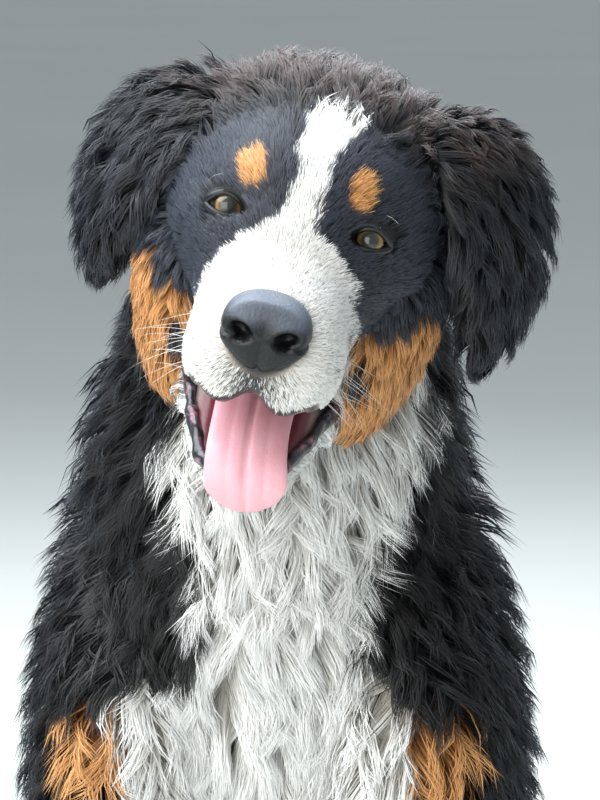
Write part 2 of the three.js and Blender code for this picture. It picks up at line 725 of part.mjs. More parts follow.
function lock(root, lie, { length, width, thick, reach, lift, bend }) {
  const points = [];
  let at = root.clone();
  let before = 0;
  let facing = null;
  for (const { share, rise, width: wide, thick: high } of [...lockShape, { share: 1, rise: 1 }]) {
    const normal = slope(at);
    const along = lie(at).addScaledVector(normal, -lie(at).dot(normal)).normalize();
    if (facing && normal.dot(facing) < sharpestTurn) return null;
    facing = normal;
    const across = normal.clone().cross(along);
    along.addScaledVector(across, bend * share).normalize();
    at = at.clone().addScaledVector(along, (share - before) * length);
    before = share;
    const height = share === 0 ? -rootDepth : lift + rise * (reach - lift);
    settle(at, height);
    if (share === 1) {
      points.push(at);
      break;
    }
    const half = (width * wide) / 2;
    const left = settle(at.clone().addScaledVector(across, -half), height);
    const right = settle(at.clone().addScaledVector(across, half), height);
    points.push(left, at.clone().addScaledVector(slope(at), thick * high), right);
  }
  const faces = [[0, 2, 1]];
  const last = points.length - 1;
  for (let r = 0; r < lockShape.length - 1; r++)
    for (let i = 0; i < 3; i++) {
      const a = r * 3 + i;
      const b = r * 3 + ((i + 1) % 3);
      faces.push([a, b, b + 3], [a, b + 3, a + 3]);
    }
  for (let i = 0; i < 3; i++) faces.push([last - 3 + i, last - 3 + ((i + 1) % 3), last]);
  return closed(points, faces);
}

// Patches of coat: rows of locks across a tube between two shares of its line.
// lie is 1 towards the end of the line and -1 towards its start, and drop adds the pull of gravity.
const patch = (tube, from, to, rows, lie, drop, length, width, thick) =>
  ({ tube, from, to, rows, lie, drop, length, width, thick });
const patches = {
  head: [
    patch(head, 0.12, 0.4, 3, -1, 0.2, 34, 32, 4),
    ...cheeks.map((c) => patch(c, 0.3, 0.8, 2, 1, 0.5, 32, 24, 3)),
  ],
  neck: [patch(neck, 0.3, 0.86, 3, -1, 0.3, 84, 46, 6)],
  torso: [patch(torso, 0.12, 0.97, 7, -1, 0.2, 94, 52, 6)],
  tail_root: [patch(tailRoot, 0.2, 0.9, 2, 1, 0, 76, 34, 5)],
  tail_tip: [patch(tailTip, 0.1, 0.85, 3, 1, 0, 70, 32, 5)],
};
sides.forEach(({ name, sign }, i) => {
  patches[`ear_${name}`] = [patch(ears[i], 0.4, 0.85, 2, 1, 0.3, 36, 28, 3)];
  patches[`shoulder_${name}`] = [patch(shoulder(sign), 0.2, 0.84, 3, 1, 0.3, 78, 44, 5)];
  patches[`thigh_${name}`] = [patch(thigh(sign), 0.2, 0.84, 3, 1, 0.9, 82, 48, 5)];
  const feather = patch(forearm(sign), 0.2, 0.6, 2, 1, 0.3, 54, 24, 4);
  patches[`forearm_${name}`] = [{ ...feather, behind: true }];
});

const perimeter = (a, b) => Math.PI * (3 * (a + b) - Math.sqrt((3 * a + b) * (a + 3 * b)));

const weldsPerMillimetre = 200;

// How many corners of a solid lie so close to another that rounding would weld them
function weldable(solid) {
  const mesh = solid.getMesh();
  const cells = new Set();
  for (let i = 0; i < mesh.numVert; i++) {
    const corner = mesh.vertProperties.subarray(i * mesh.numProp, i * mesh.numProp + 3);
    cells.add(Array.from(corner, (v) => Math.round(v * weldsPerMillimetre)).join());
  }
  return mesh.numVert - cells.size;
}

const lowestRoot = 8; // what lies on the floor grows no locks underneath

const meets = (a, b) => a.min.every((v, k) => v < b.max[k] && b.min[k] < a.max[k]);

// The coat's locks, each joined at the first lift that clears the neighbours and joins cleanly
const lifts = [0, 3, 7];

function growLocks(name, core, others) {
  let dressed = core;
  const clear = (tried) => {
    const box = tried.boundingBox();
    return !others.some((o) => meets(box, o.box) && tried.intersect(o.solid).volume() > 1e-4);
  };
  const join = (make) => {
    for (const lift of lifts) {
      const tried = make(lift);
      if (!tried) return;
      if (!clear(tried)) continue;
      const joined = dressed.add(tried);
      if (joined.decompose().length > 1 || weldable(joined) > weldable(dressed)) continue;
      dressed = joined;
      return;
    }
  };
  for (const area of patches[name] ?? []) {
    const { tube, from, to, rows, lie, drop, length, width, thick, behind } = area;
    const pull = new THREE.Vector3(0, 0, -drop);
    const direction = (p) => tube.flow(p).multiplyScalar(lie).add(pull).normalize();
    for (let row = 0; row < rows; row++) {
      const t = THREE.MathUtils.lerp(from, to, (row + 0.5) / rows);
      const { size, fur, core: depth } = tube.frame(t);
      const count = Math.round(perimeter(size.x + depth, size.y + depth) / (width * 1.12));
      for (let i = 0; i < count; i++) {
        const turn = ((i + 0.5 * (row % 2) + random(-0.15, 0.15)) / count) * 360 * degrees;
        const share = THREE.MathUtils.clamp(t + random(-0.02, 0.02), 0.02, 0.98);
        const root = tube.point(share, turn);
        const form = {
          length: length * random(0.88, 1.12),
          width: width * random(0.88, 1.12),
          thick,
          reach: fur - depth,
          bend: random(-0.3, 0.3),
        };
        if (heightOver(root) < -3 || root.z < lowestRoot) continue;
        if (behind && slope(root).y < 0.3) continue;
        join((lift) => lock(root, direction, { ...form, lift }));
      }
    }
  }
  return dressed;
}

// The room that each node leaves free of its neighbours' locks: its own solid, and that solid swollen
const coatGap = gap + 0.1;
const rooms = new Map();
function takeRoom(name, solid) {
  const boxed = (body) => ({ solid: body, box: body.boundingBox() });
  rooms.set(name, [boxed(swollen(solid, coatGap)), boxed(solid)]);
}
cores.forEach(({ solid }, name) => takeRoom(name, solid));
rooms.set("floor", [{ solid: floor, box: floor.boundingBox() }]);

// Finishes and nodes
const material = (hex, roughness) =>
  new THREE.MeshStandardMaterial({ color: hex, roughness, metalness: 0 });
const finishes = {
  black: material(0x1d1917, 0.85),
  white: material(0xe8e2d6, 0.85),
  rust: material(0xb06a2c, 0.85),
  nose: material(0x26262a, 0.45),
  tongue: material(0xdb8f98, 0.5),
  eye: material(0x8a6a34, 0.1),
};
const finishOf = {
  jaw: "white",
  forepaw: "white",
  hindpaw: "white",
  forearm: "rust",
  shank: "rust",
  nose: "nose",
  tongue: "tongue",
  eye: "eye",
};

const group = new THREE.Group();
for (const [name, { solid }] of cores) {
  const others = [...rooms].filter(([other]) => other !== name).flatMap(([, taken]) => taken);
  const dressed = growLocks(name, solid, others);
  takeRoom(name, dressed);
  const mesh = dressed.getMesh();
  const corners = Array.from({ length: mesh.numVert }, (_, i) =>
    Array.from(mesh.vertProperties.subarray(i * mesh.numProp, i * mesh.numProp + 3)),
  );
  const geometry = new THREE.BufferGeometry();
  geometry.setAttribute("position", new THREE.Float32BufferAttribute(corners.flat(), 3));
  geometry.setIndex(new THREE.BufferAttribute(new Uint32Array(mesh.triVerts), 1));
  geometry.computeVertexNormals();
  const node = new THREE.Mesh(geometry, finishes[finishOf[name.split("_")[0]] ?? "black"]);
  node.name = name;
  group.add(node);
}

export default group;
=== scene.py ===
# A young Bernese mountain dog, sitting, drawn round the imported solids. Shapes are worked out in millimetres.
from math import cos, pi, radians, sin

import bmesh
import bpy
import numpy as np
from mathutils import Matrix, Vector
from mathutils.kdtree import KDTree


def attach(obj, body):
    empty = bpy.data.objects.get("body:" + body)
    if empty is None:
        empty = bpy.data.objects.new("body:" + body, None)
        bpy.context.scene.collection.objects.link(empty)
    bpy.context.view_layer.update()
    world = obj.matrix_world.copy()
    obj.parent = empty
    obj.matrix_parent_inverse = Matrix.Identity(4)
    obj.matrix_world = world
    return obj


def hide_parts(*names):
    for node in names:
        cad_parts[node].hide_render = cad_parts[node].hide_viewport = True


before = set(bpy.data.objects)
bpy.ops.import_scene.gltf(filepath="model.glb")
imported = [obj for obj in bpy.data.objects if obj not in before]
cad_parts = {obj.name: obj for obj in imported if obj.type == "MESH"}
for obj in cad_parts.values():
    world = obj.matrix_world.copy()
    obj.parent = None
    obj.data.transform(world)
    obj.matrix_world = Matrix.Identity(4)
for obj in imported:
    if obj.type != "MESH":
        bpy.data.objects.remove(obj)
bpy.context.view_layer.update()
mm = 0.001
dice = np.random.default_rng(20)
sides = (("Right", -1), ("Left", 1))  # the dog's own sides, and the sign of x on each

# Places of the head and the body, as in the part's source
pose = {
    "midEye": (15, -215, 600),
    "headTurns": (15, 13.5, -4.5),  # degrees about x, then y, then z
    "bodyTurn": -9,
    "chestPivot": (0, -140, 0),
    "bodyShift": -8,
    "centring": (-22, -11, 0),
}


def turned(x, y, z):  # Rz Ry Rx, in degrees
    cx, cy, cz = (cos(radians(a)) for a in (x, y, z))
    sx, sy, sz = (sin(radians(a)) for a in (x, y, z))
    aboutX = np.array([[1, 0, 0], [0, cx, -sx], [0, sx, cx]])
    aboutY = np.array([[cy, 0, sy], [0, 1, 0], [-sy, 0, cy]])
    aboutZ = np.array([[cz, -sz, 0], [sz, cz, 0], [0, 0, 1]])
    return aboutZ @ aboutY @ aboutX


centring = np.array(pose["centring"], float)
pivot = np.array(pose["chestPivot"], float)
headPlace = (turned(*pose["headTurns"]), np.array(pose["midEye"]) + centring)
bodyTurn = turned(0, 0, pose["bodyTurn"])
bodyPlace = (bodyTurn, pivot - bodyTurn @ pivot + np.array([pose["bodyShift"], 0, 0]) + centring)


def placed(points, place):
    return points @ place[0].T + place[1]


def unplaced(points, place):
    return (points - place[1]) @ place[0]


# Camera: the photograph's view, with the point between the eyes this many pixels off the middle
view = {"elevation": 8, "distance": 2200, "mmPerPixel": 0.481, "eyesRight": 2.3, "eyesUp": 184.2, "tall": 800}


def addCamera():
    elevation = radians(view["elevation"])
    toward = Vector((0, cos(elevation), -sin(elevation)))
    up = Vector((0, sin(elevation), cos(elevation)))
    off = Vector((1, 0, 0)) * view["eyesRight"] + up * view["eyesUp"]
    data = bpy.data.cameras.new("camera")
    data.lens = data.sensor_width * view["distance"] / (view["tall"] * view["mmPerPixel"])
    data.clip_end = 30
    camera = bpy.data.objects.new("camera", data)
    camera.location = (Vector(headPlace[1]) - off * view["mmPerPixel"] - toward * view["distance"]) * mm
    camera.rotation_euler = (pi / 2 - elevation, 0, 0)
    bpy.context.scene.collection.objects.link(camera)
    bpy.context.scene.camera = camera
    return np.array(camera.location) / mm


photographer = addCamera()
print("camera set")


def unit(v):
    return v / np.maximum(np.linalg.norm(v, axis=-1, keepdims=True), 1e-9)


def dots(a, b):  # dot products of vectors in rows
    return np.einsum("...k,...k->...", a, b)


def climb(x, low, high):  # 3s^2 - 2s^3 of the share s between low and high
    s = np.clip((x - low) / (high - low), 0, 1)
    return s * s * (3 - 2 * s)


def fade(x, low, high):
    return 1 - climb(x, low, high)


def swell(p, at, radius):  # exp(-d^2 / radius^2) round a place and its mirror place
    away = np.stack([np.abs(p[..., 0]) - at[0], p[..., 1] - at[1], p[..., 2] - at[2]])
    return np.exp(-(away**2).sum(0) / radius**2)


def wobble(p, size):  # slow noise from -1 to 1: products of sines in three directions
    x, y, z = (p[..., k] / size for k in range(3))
    first = np.sin(2.1 * x + 1.3 * np.sin(1.7 * z + 0.5)) * np.sin(1.9 * y + 2)
    return (first + np.sin(2.7 * z + 1.1 * x + 4) * np.sin(2.3 * x - 1.7 * y + 1)) / 2


def alongRows(rows, t):  # Catmull-Rom: cubics through the rows, even in t
    u = np.clip(t, 0, 1) * (len(rows) - 1)
    i = np.minimum(u.astype(int), len(rows) - 2)
    f = (u - i)[:, None]
    ends = np.vstack([2 * rows[0] - rows[1], rows, 2 * rows[-1] - rows[-2]])
    a, b, c, d = (ends[i + k] for k in range(4))
    return b + 0.5 * f * (c - a) + f**2 * (a - 2.5 * b + 2 * c - 0.5 * d) + f**3 * (1.5 * (b - c) + 0.5 * (d - a))


# Head: swellings and hollows (centre on the +X side, radius, push from the middle), then roof and floor of the mouth
headForms = {
    "brow": ((27, -13, 23), 15, 4),
    "stop": ((0, -14, 14), 13, -4),
    "furrow": ((0, 4, 44), 14, -2.5),
    "eyeSocket": ((35, -8, 4), 13, -5),
    "cheekbone": ((50, 6, -24), 24, 4),
    "besideBridge": ((26, -34, -14), 15, -4),
    "flew": ((27, -64, -60), 18, 4),
}
mouthRoof = {"halfWidth": 27, "back": (-12, 18), "front": (74, 84), "lift": 24, "lipNotch": 12}
jawTrough = {"halfWidth": 22, "back": (-30, -5), "front": (50, 62), "depth": 9}
earCup = {"halfWidth": 35, "draw": 5}


def mouldHead(p, centre):  # each point moves out by the sum of push * swell; under the muzzle it is lifted
    out = p - centre
    out[:, 1] = 0
    push = sum(form[2] * swell(p, form[0], form[1]) for form in headForms.values())
    p = p + unit(out) * push[:, None]
    under = climb(centre[:, 2] - p[:, 2], 8, 22)
    inside = np.maximum(0, 1 - (p[:, 0] / mouthRoof["halfWidth"]) ** 2)
    reach = climb(-p[:, 1], *mouthRoof["back"]) * fade(-p[:, 1], *mouthRoof["front"])
    p[:, 2] += mouthRoof["lift"] * under * inside * reach
    p[:, 2] += mouthRoof["lipNotch"] * under * np.exp(-((p[:, 0] / 9) ** 2)) * climb(-p[:, 1], 74, 86)
    return p


def mouldJaw(p, centre):  # the trough that the tongue lies in
    reach = climb(-p[:, 1], *jawTrough["back"]) * fade(-p[:, 1], *jawTrough["front"])
    inside = np.maximum(0, 1 - (p[:, 0] / jawTrough["halfWidth"]) ** 2)
    p[:, 2] -= jawTrough["depth"] * climb(p[:, 2] - centre[:, 2], 2, 9) * inside * reach
    return p


def cupEar(p, centre):  # the edges of the leaf drawn in towards the cheek by draw (share across)^2
    sign = np.sign(centre[0, 0])
    across = ((p - centre) @ [sign * 0.6, 0.8, 0]) / earCup["halfWidth"]
    p[:, 0] -= sign * earCup["draw"] * across**2
    return p


# Parts of the body: oval tubes along rows of (x, y, z, wide, deep, square, fur).
# lie is 1 where the hair runs to the end of the rows, drop is the pull of gravity on it.
parts = {}


def addPart(
    name, rows, side=(1, 0, 0), domes=(0.12, 0.12), mould=None, place=bodyPlace, lie=1, drop=0.3, kind="body",
):
    parts[name] = {
        "rows": np.array(rows, float), "side": np.array(side, float), "domes": domes, "mould": mould,
        "place": place, "lie": lie, "drop": drop, "kind": kind,
    }


def addPair(name, rows, **rest):
    for end, sign in sides:
        addPart(name + end, np.array(rows, float) * ([sign] + [1] * 6), **rest)


addPart("head", [
    (0, 112, -13, 44, 31, 2, 16), (0, 92, -14, 57, 47, 2.3, 18), (0, 60, -14, 64, 59, 2.4, 18),
    (0, 30, -15, 64, 63, 2.2, 14), (0, 5, -18, 58, 60, 2, 8), (0, -12, -24.5, 49, 48.5, 2, 4),
    (0, -28, -33, 41, 38, 2.2, 3), (0, -45, -39.5, 37, 34.5, 2.4, 3), (0, -62, -42, 36, 33, 2.5, 3),
    (0, -78, -42, 32, 30, 2.4, 3), (0, -90, -39, 26, 22, 2.2, 2),
], domes=(0.1, 0.06), mould=mouldHead, place=headPlace, lie=-1, drop=0.25, kind="head")
addPart("jaw", [
    (0, 52, -52, 40, 18, 2, 16), (0, 18, -80, 42, 20, 2, 12), (0, -12, -95, 36, 17, 2, 8),
    (0, -38, -106, 27, 13, 2, 6), (0, -58, -112, 19, 10, 2, 4), (0, -68, -113, 14, 8, 2, 3),
], domes=(0.1, 0.12), mould=mouldJaw, place=headPlace, lie=-1, drop=0.6, kind="jaw")
earRows = np.array([
    (42, 62, 16, 17, 9, 2, 8), (62, 58, 29, 27, 8, 2, 10), (82, 51, 18, 33, 6, 2, 13),
    (94, 44, -8, 31, 4, 2, 13), (97, 39, -33, 19, 4, 2, 11), (95, 35, -58, 8, 3, 2, 9),
], float)
earShifts = {"Right": (-1, -6, -11), "Left": (4, 8, -12)}  # outwards, up at the root, up at the tip
for end, sign in sides:
    out, root, tip = earShifts[end]
    rows = earRows.copy()
    rows[:, 0] = sign * (rows[:, 0] + out)
    rows[:, 2] += np.linspace(root, tip, len(rows))
    addPart("ear" + end, rows, side=(sign * 0.6, 0.8, 0), domes=(0.1, 0.14), mould=cupEar, place=headPlace,
            drop=0.5, kind="ear")
addPair("cheek", [
    (42, 38, -12, 22, 30, 2, 10), (47, 28, -40, 25, 33, 2, 11), (45, 22, -66, 23, 31, 2, 12),
    (39, 19, -92, 18, 26, 2, 12), (31, 18, -112, 11, 17, 2, 12),
], domes=(0.14, 0.16), place=headPlace, drop=0.5, kind="cheek")
addPart("torso", [
    (0, 178, -6, 74, 60, 2, 28), (0, 162, 70, 86, 76, 2, 30), (0, 124, 148, 88, 84, 2, 30),
    (0, 72, 216, 84, 88, 2, 28), (0, 14, 284, 88, 97, 2, 28), (0, -34, 344, 92, 102, 2, 30),
    (0, -64, 402, 88, 94, 2, 32), (0, -80, 452, 70, 76, 2, 32),
], domes=(0.08, 0.1), lie=-1)
addPart("neck", [
    (0, -62, 396, 80, 86, 2, 34), (0, -80, 452, 74, 80, 2, 34), (8, -98, 508, 63, 68, 2, 34),
    (17, -114, 552, 55, 58, 2, 30), (23, -122, 586, 46, 46, 2, 24),
], domes=(0.2, 0.15), lie=-1)
addPair("shoulder", [
    (42, -30, 440, 26, 40, 2, 24), (62, -62, 385, 36, 56, 2, 26), (67, -88, 330, 38, 62, 2, 28),
    (72, -84, 275, 35, 52, 2, 26), (72, -76, 232, 30, 36, 2, 18),
], domes=(0.2, 0.12))
parts["shoulderLeft"]["rows"][2:, 0] += (6, 6, 3)  # the left elbow stands off a little more
addPair("forearm", [
    (71, -76, 262, 30, 34, 2, 14), (68, -86, 205, 27, 30, 2, 12), (65, -102, 150, 24, 25, 2, 10),
    (63, -114, 98, 23, 23, 2, 8), (63, -120, 58, 22, 22, 2, 6), (63, -128, 30, 24, 24, 2, 5),
], domes=(0.08, 0.1), drop=0.1, kind="foreleg")
addPair("thigh", [
    (48, 168, 118, 44, 68, 2, 26), (72, 130, 130, 46, 80, 2, 28), (94, 78, 138, 42, 72, 2, 28),
    (106, 34, 136, 34, 54, 2, 26), (110, 6, 128, 26, 38, 2, 22),
], domes=(0.14, 0.16), drop=0.9, kind="thigh")
addPair("shank", [
    (108, 24, 96, 28, 34, 2, 14), (106, 66, 70, 26, 30, 2, 12), (104, 112, 42, 21, 22, 2, 10),
    (104, 146, 20, 18, 18, 2, 8),
], domes=(0.1, 0.1), drop=0.1, kind="hindleg")
addPair("metatarsus", [
    (104, 148, 18, 18, 17, 2, 7), (108, 112, 14, 18, 15, 2, 6), (113, 70, 13, 20, 15, 2, 6),
    (117, 32, 14, 22, 17, 2, 5),
], domes=(0.12, 0.08), drop=0, kind="hindleg")
addPart("tail", [
    (0, 196, 92, 18, 20, 2, 26), (-2, 236, 58, 15, 16, 2, 30), (-16, 270, 33, 12, 12, 2, 34),
    (-50, 292, 24, 10, 10, 2, 34), (-90, 290, 22, 9, 9, 2, 34), (-128, 268, 20, 8, 8, 2, 30),
    (-152, 238, 16, 6, 6, 2, 24),
], side=(-0.2, 0.1, 1), domes=(0.06, 0.2), drop=0, kind="tail")

# Paws: heel and toes (x, y) on the left, half width and height
paws = {
    "forepaw": {"heel": (63, -112), "toes": (66, -182), "wide": 31, "high": 44, "kind": "forefoot"},
    "hindpaw": {"heel": (116, 44), "toes": (126, -28), "wide": 29, "high": 38, "kind": "hindfoot"},
}
pawRows = (  # share from heel to toes, then middle, half width and half height in shares of the paw's, and square
    (0, 0.42, 0.72, 0.5, 2), (0.35, 0.5, 0.92, 0.6, 2.3), (0.7, 0.42, 1, 0.52, 2.4), (0.92, 0.32, 0.86, 0.42, 2.4),
    (1, 0.26, 0.7, 0.32, 2.2),
)
pawFur = 4
toeForm = {"groove": 6, "reach": 7}


def pawAxes(paw, sign):  # heel, toes, the way ahead and the way across
    heel, toes = (np.array([sign * paw[k][0], paw[k][1], 0.0]) for k in ("heel", "toes"))
    ahead = unit(toes - heel)
    return heel, toes, ahead, np.array([-ahead[1], ahead[0], 0])


def addPaw(name, paw, sign):
    heel, toes, ahead, sideways = pawAxes(paw, sign)
    wide = paw["wide"]

    def mouldPaw(p, centre):
        # three grooves between four toes: depth groove (1 - |cos|^0.6) across the paw, from the knuckles on
        share = (p - heel) @ ahead / np.linalg.norm(toes - heel)
        over = (p - heel) @ sideways
        toe = np.abs(np.cos(over / (wide / 2) * pi))
        depth = toeForm["groove"] * climb(share, 0.45, 0.9) * (1 - toe**0.6)
        p = p - unit(p - centre) * depth[:, None]
        return p + ahead * (toeForm["reach"] * climb(share, 0.75, 1) * (1 - (over / wide) ** 2))[:, None]

    rows = [
        (*(heel + (toes - heel) * share)[:2], paw["high"] * z, wide * w, paw["high"] * d, square, pawFur)
        for share, z, w, d, square in pawRows
    ]
    addPart(name, rows, side=sideways, domes=(0.15, 0.2), mould=mouldPaw, drop=0.1, kind=paw["kind"])


for name, paw in paws.items():
    for end, sign in sides:
        addPaw(name + end, paw, sign)


def sections(part, t):  # the line, its axes and the section's sizes at shares t
    rows = part["rows"]
    row = alongRows(rows, t)
    step = 1e-4
    along = unit(alongRows(rows, np.minimum(t + step, 1))[:, :3] - alongRows(rows, np.maximum(t - step, 0))[:, :3])
    deepAxis = unit(np.cross(part["side"], along))
    wideAxis = unit(np.cross(along, deepAxis))
    near = np.minimum(1, np.minimum(t / part["domes"][0], (1 - t) / part["domes"][1]))
    rounding = np.sqrt(np.maximum(0, 1 - (1 - near) ** 2))
    return row[:, :3], along, wideAxis, deepAxis, *row[:, 3:6].T, np.maximum(row[:, 6], 0), rounding


def tubePoints(part, t, turn):  # centre + wide cos^(2/n) W + deep sin^(2/n) D, drawn in at the rounded ends
    centre, along, wideAxis, deepAxis, wide, deep, square, fur, rounding = sections(part, t)
    c, s = np.cos(turn), np.sin(turn)
    x = np.sign(c) * np.abs(c) ** (2 / square) * wide * rounding
    y = np.sign(s) * np.abs(s) ** (2 / square) * deep * rounding
    p = centre + wideAxis * x[:, None] + deepAxis * y[:, None]
    return part["mould"](p, centre) if part["mould"] else p


def ringFaces(rings, around):  # triangles of a closed tube whose first and last points are its poles
    i = np.arange(around)
    j = (i + 1) % around
    last = 1 + rings * around
    a, b = (1 + (np.arange(rings - 1) * around)[:, None] + k for k in (i, j))
    return np.concatenate([
        np.stack([a, b, b + around], -1).reshape(-1, 3),
        np.stack([a, b + around, a + around], -1).reshape(-1, 3),
        np.stack([np.full(around, 0), 1 + j, 1 + i], -1),
        np.stack([np.full(around, last), last - around + i, last - around + j], -1),
    ])


def outwards(points, faces):  # the same faces, turned so that the volume they close is positive
    a, b, c = (points[faces[:, k]] for k in range(3))
    inside = dots(a, np.cross(b, c)).sum() < 0
    return points, faces[:, ::-1] if inside else faces


def closedTube(part, around, rings, capRings=8):  # points and faces of a whole part, in the world
    start, end = part["domes"]
    quarter = np.arange(1, capRings + 1) / capRings * pi / 2
    shares = np.concatenate([
        start * (1 - np.cos(quarter)),
        start + (1 - start - end) * np.arange(1, rings) / rings,
        1 - end * (1 - np.cos(quarter[::-1])),
    ])
    t = np.concatenate([[0], np.repeat(shares, around), [1]])
    turn = np.concatenate([[0], np.tile(np.arange(around) / around * 2 * pi, len(shares)), [0]])
    points = placed(tubePoints(part, t, turn), part["place"])
    return outwards(points, ringFaces(len(shares), around))


def makeObject(name, points, faces, smooth=True):  # a mesh object from arrays in millimetres
    mesh = bpy.data.meshes.new(name)
    mesh.vertices.add(len(points))
    mesh.vertices.foreach_set("co", (points * mm).astype(np.float32).ravel())
    mesh.loops.add(faces.size)
    mesh.loops.foreach_set("vertex_index", faces.astype(np.int32).ravel())
    mesh.polygons.add(len(faces))
    mesh.polygons.foreach_set("loop_start", np.arange(0, faces.size, faces.shape[1], dtype=np.int32))
    mesh.polygons.foreach_set("use_smooth", np.full(len(faces), smooth))
    mesh.update(calc_edges=True)
    obj = bpy.data.objects.new(name, mesh)
    bpy.context.scene.collection.objects.link(obj)
    return obj


def joined(pieces):
    starts = np.cumsum([0] + [len(p) for p, _ in pieces])
    return np.concatenate([p for p, _ in pieces]), np.concatenate([f + s for (_, f), s in zip(pieces, starts)])


def applied(obj, modifiers):  # runs modifiers (type, settings) on an object and keeps the result as its mesh
    for kind, settings in modifiers:
        modifier = obj.modifiers.new(kind.lower(), kind)
        for key, value in settings.items():
            setattr(modifier, key, value)
    graph = bpy.context.evaluated_depsgraph_get()
    mesh = bpy.data.meshes.new_from_object(obj.evaluated_get(graph))
    obj.modifiers.clear()
    obj.data = mesh


def arraysOf(obj):  # points, normals and triangles
    mesh = obj.data
    mesh.calc_loop_triangles()
    points, normals = np.empty((2, len(mesh.vertices) * 3))
    mesh.vertices.foreach_get("co", points)
    mesh.vertices.foreach_get("normal", normals)
    faces = np.empty(len(mesh.loop_triangles) * 3, np.int32)
    mesh.loop_triangles.foreach_get("vertices", faces)
    return points.reshape(-1, 3) / mm, normals.reshape(-1, 3), faces.reshape(-1, 3)


def addField(obj, name, values):  # a number at each point, or a colour of four channels
    isColour = values.ndim == 2
    layer = obj.data.attributes.new(name, "FLOAT_COLOR" if isColour else "FLOAT", "POINT")
    layer.data.foreach_set("color" if isColour else "value", values.astype(np.float32).ravel())


def dress(obj, material, node=None):  # a piece's finish and body, and the node it takes the place of
    obj.data.materials.append(material)
    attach(obj, "root")
    if node:
        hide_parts(node)


# Eyes: the balls' place and size, and the opening of the lids
eye = {
    "gap": 70, "depth": -12, "lift": 0.6, "radius": 11, "lid": 1.5, "halfWide": 8.7, "halfHigh": 5.4, "outward": 0.9,
}
faceLean = radians(23)  # the face is measured square to a line leaning this far back
faceUp = np.array([0, sin(faceLean), cos(faceLean)])
faceForward = np.array([0, -cos(faceLean), sin(faceLean)])


def ballGrid(centre, radius, around=32, rings=16):
    turn = np.tile(np.arange(around) / around * 2 * pi, rings - 1)
    fall = np.repeat(np.arange(1, rings) / rings * pi, around)
    wall = np.stack([np.sin(fall) * np.cos(turn), np.sin(fall) * np.sin(turn), np.cos(fall)], -1)
    points = np.concatenate([[[0, 0, 1]], wall, [[0, 0, -1]]]) * radius + centre
    return placed(points, headPlace), ringFaces(rings - 1, around)[:, ::-1]


def eyeCentre(sign):
    return np.array([sign * eye["gap"] / 2, eye["depth"], eye["lift"]])


def almond(sign, turn, grow=0.0):  # the edge of the open lids, across and up from the eye's middle
    across = (eye["halfWide"] + grow) * np.cos(turn)
    up = (eye["halfHigh"] + grow) * np.sin(turn) * (1 - 0.28 * np.cos(turn) ** 2)
    up = np.where(up < 0, up * 0.86, up) - 0.6 * (across / eye["halfWide"]) ** 2
    return sign * (across + eye["outward"]), up


def onFace(sign, across, up, forward):  # a place given across, up and forward from an eye's centre
    line = eyeCentre(sign) + np.multiply.outer(up, faceUp) + np.multiply.outer(forward, faceForward)
    line[:, 0] += across
    return placed(line, headPlace)


def lidCutter(sign):  # the almond carried forward from inside the ball, opening out a little
    around = 40
    turn = np.arange(around) / around * 2 * pi
    rings = [
        onFace(sign, *almond(sign, turn, grow), np.full(around, forward))
        for forward, grow in ((2, 0), (9, 0), (13, 0.8), (40, 9))
    ]
    points = np.concatenate([[rings[0].mean(0)], *rings, [rings[-1].mean(0)]])
    return outwards(points, ringFaces(4, around))


# Skin: the bare body, all parts merged into one surface, finer on the head
headKinds = ("head", "jaw", "cheek", "ear")
skin = {"head": {"grain": 1.6, "smoothing": 5}, "body": {"grain": 3.6, "smoothing": 12}}
corneaGap = 0.15  # between the eyeball and the skin round it


def dropDoubled(mesh):  # removes both faces of a pair on the same corners, which the voxels can leave
    form = bmesh.new()
    form.from_mesh(mesh)
    pairs = {}
    for face in form.faces:
        pairs.setdefault(tuple(sorted(v.index for v in face.verts)), []).append(face)
    doubled = [face for pair in pairs.values() if len(pair) > 1 for face in pair]
    bmesh.ops.delete(form, geom=doubled, context="FACES")
    form.to_mesh(mesh)
    form.free()


def makeSkin():
    made = []
    for region, form in skin.items():
        members = [p for p in parts.values() if (p["kind"] in headKinds) == (region == "head")]
        tubes = [closedTube(p, 96 if p["kind"] == "head" else 64, 60) for p in members]
        if region == "head":
            tubes += [ballGrid(eyeCentre(sign), eye["radius"] + eye["lid"]) for _, sign in sides]
        made.append(makeObject("skin" + region, *joined(tubes)))
        applied(made[-1], [
            ("REMESH", {"mode": "VOXEL", "voxel_size": form["grain"] * mm, "use_smooth_shade": True}),
            ("SMOOTH", {"factor": 0.5, "iterations": form["smoothing"]}),
        ])
    whole, body = made
    underFloor = np.array([[x, y, z] for z in (-200, 0) for y in (-600, 600) for x in (-600, 600)], float)
    slabFaces = np.array([[0, 2, 1], [1, 2, 3], [4, 5, 6], [5, 7, 6], [0, 1, 4], [1, 5, 4], [2, 6, 3], [3, 6, 7],
                          [0, 4, 2], [2, 4, 6], [1, 3, 5], [3, 7, 5]])
    cuts = [lidCutter(sign) for _, sign in sides] + [(underFloor, slabFaces)]
    cuts += [ballGrid(eyeCentre(sign), eye["radius"] + corneaGap, 48, 24) for _, sign in sides]
    cutters = [makeObject("cut", *cut) for cut in cuts]
    steps = [("BOOLEAN", {"operation": "UNION", "object": body, "solver": "MANIFOLD"})]
    steps += [("BOOLEAN", {"operation": "DIFFERENCE", "object": c, "solver": "MANIFOLD"}) for c in cutters]
    applied(whole, steps)
    dropDoubled(whole.data)
    for obj in (body, *cutters):
        bpy.data.objects.remove(obj)
    whole.name = whole.data.name = "skin"
    return whole


skinObject = makeSkin()
skinPoints, skinNormals, skinFaces = arraysOf(skinObject)
print("skin", len(skinPoints), "points", len(skinFaces), "triangles")
blendWidth = 7  # the hair's lie passes from one part to the next over about this


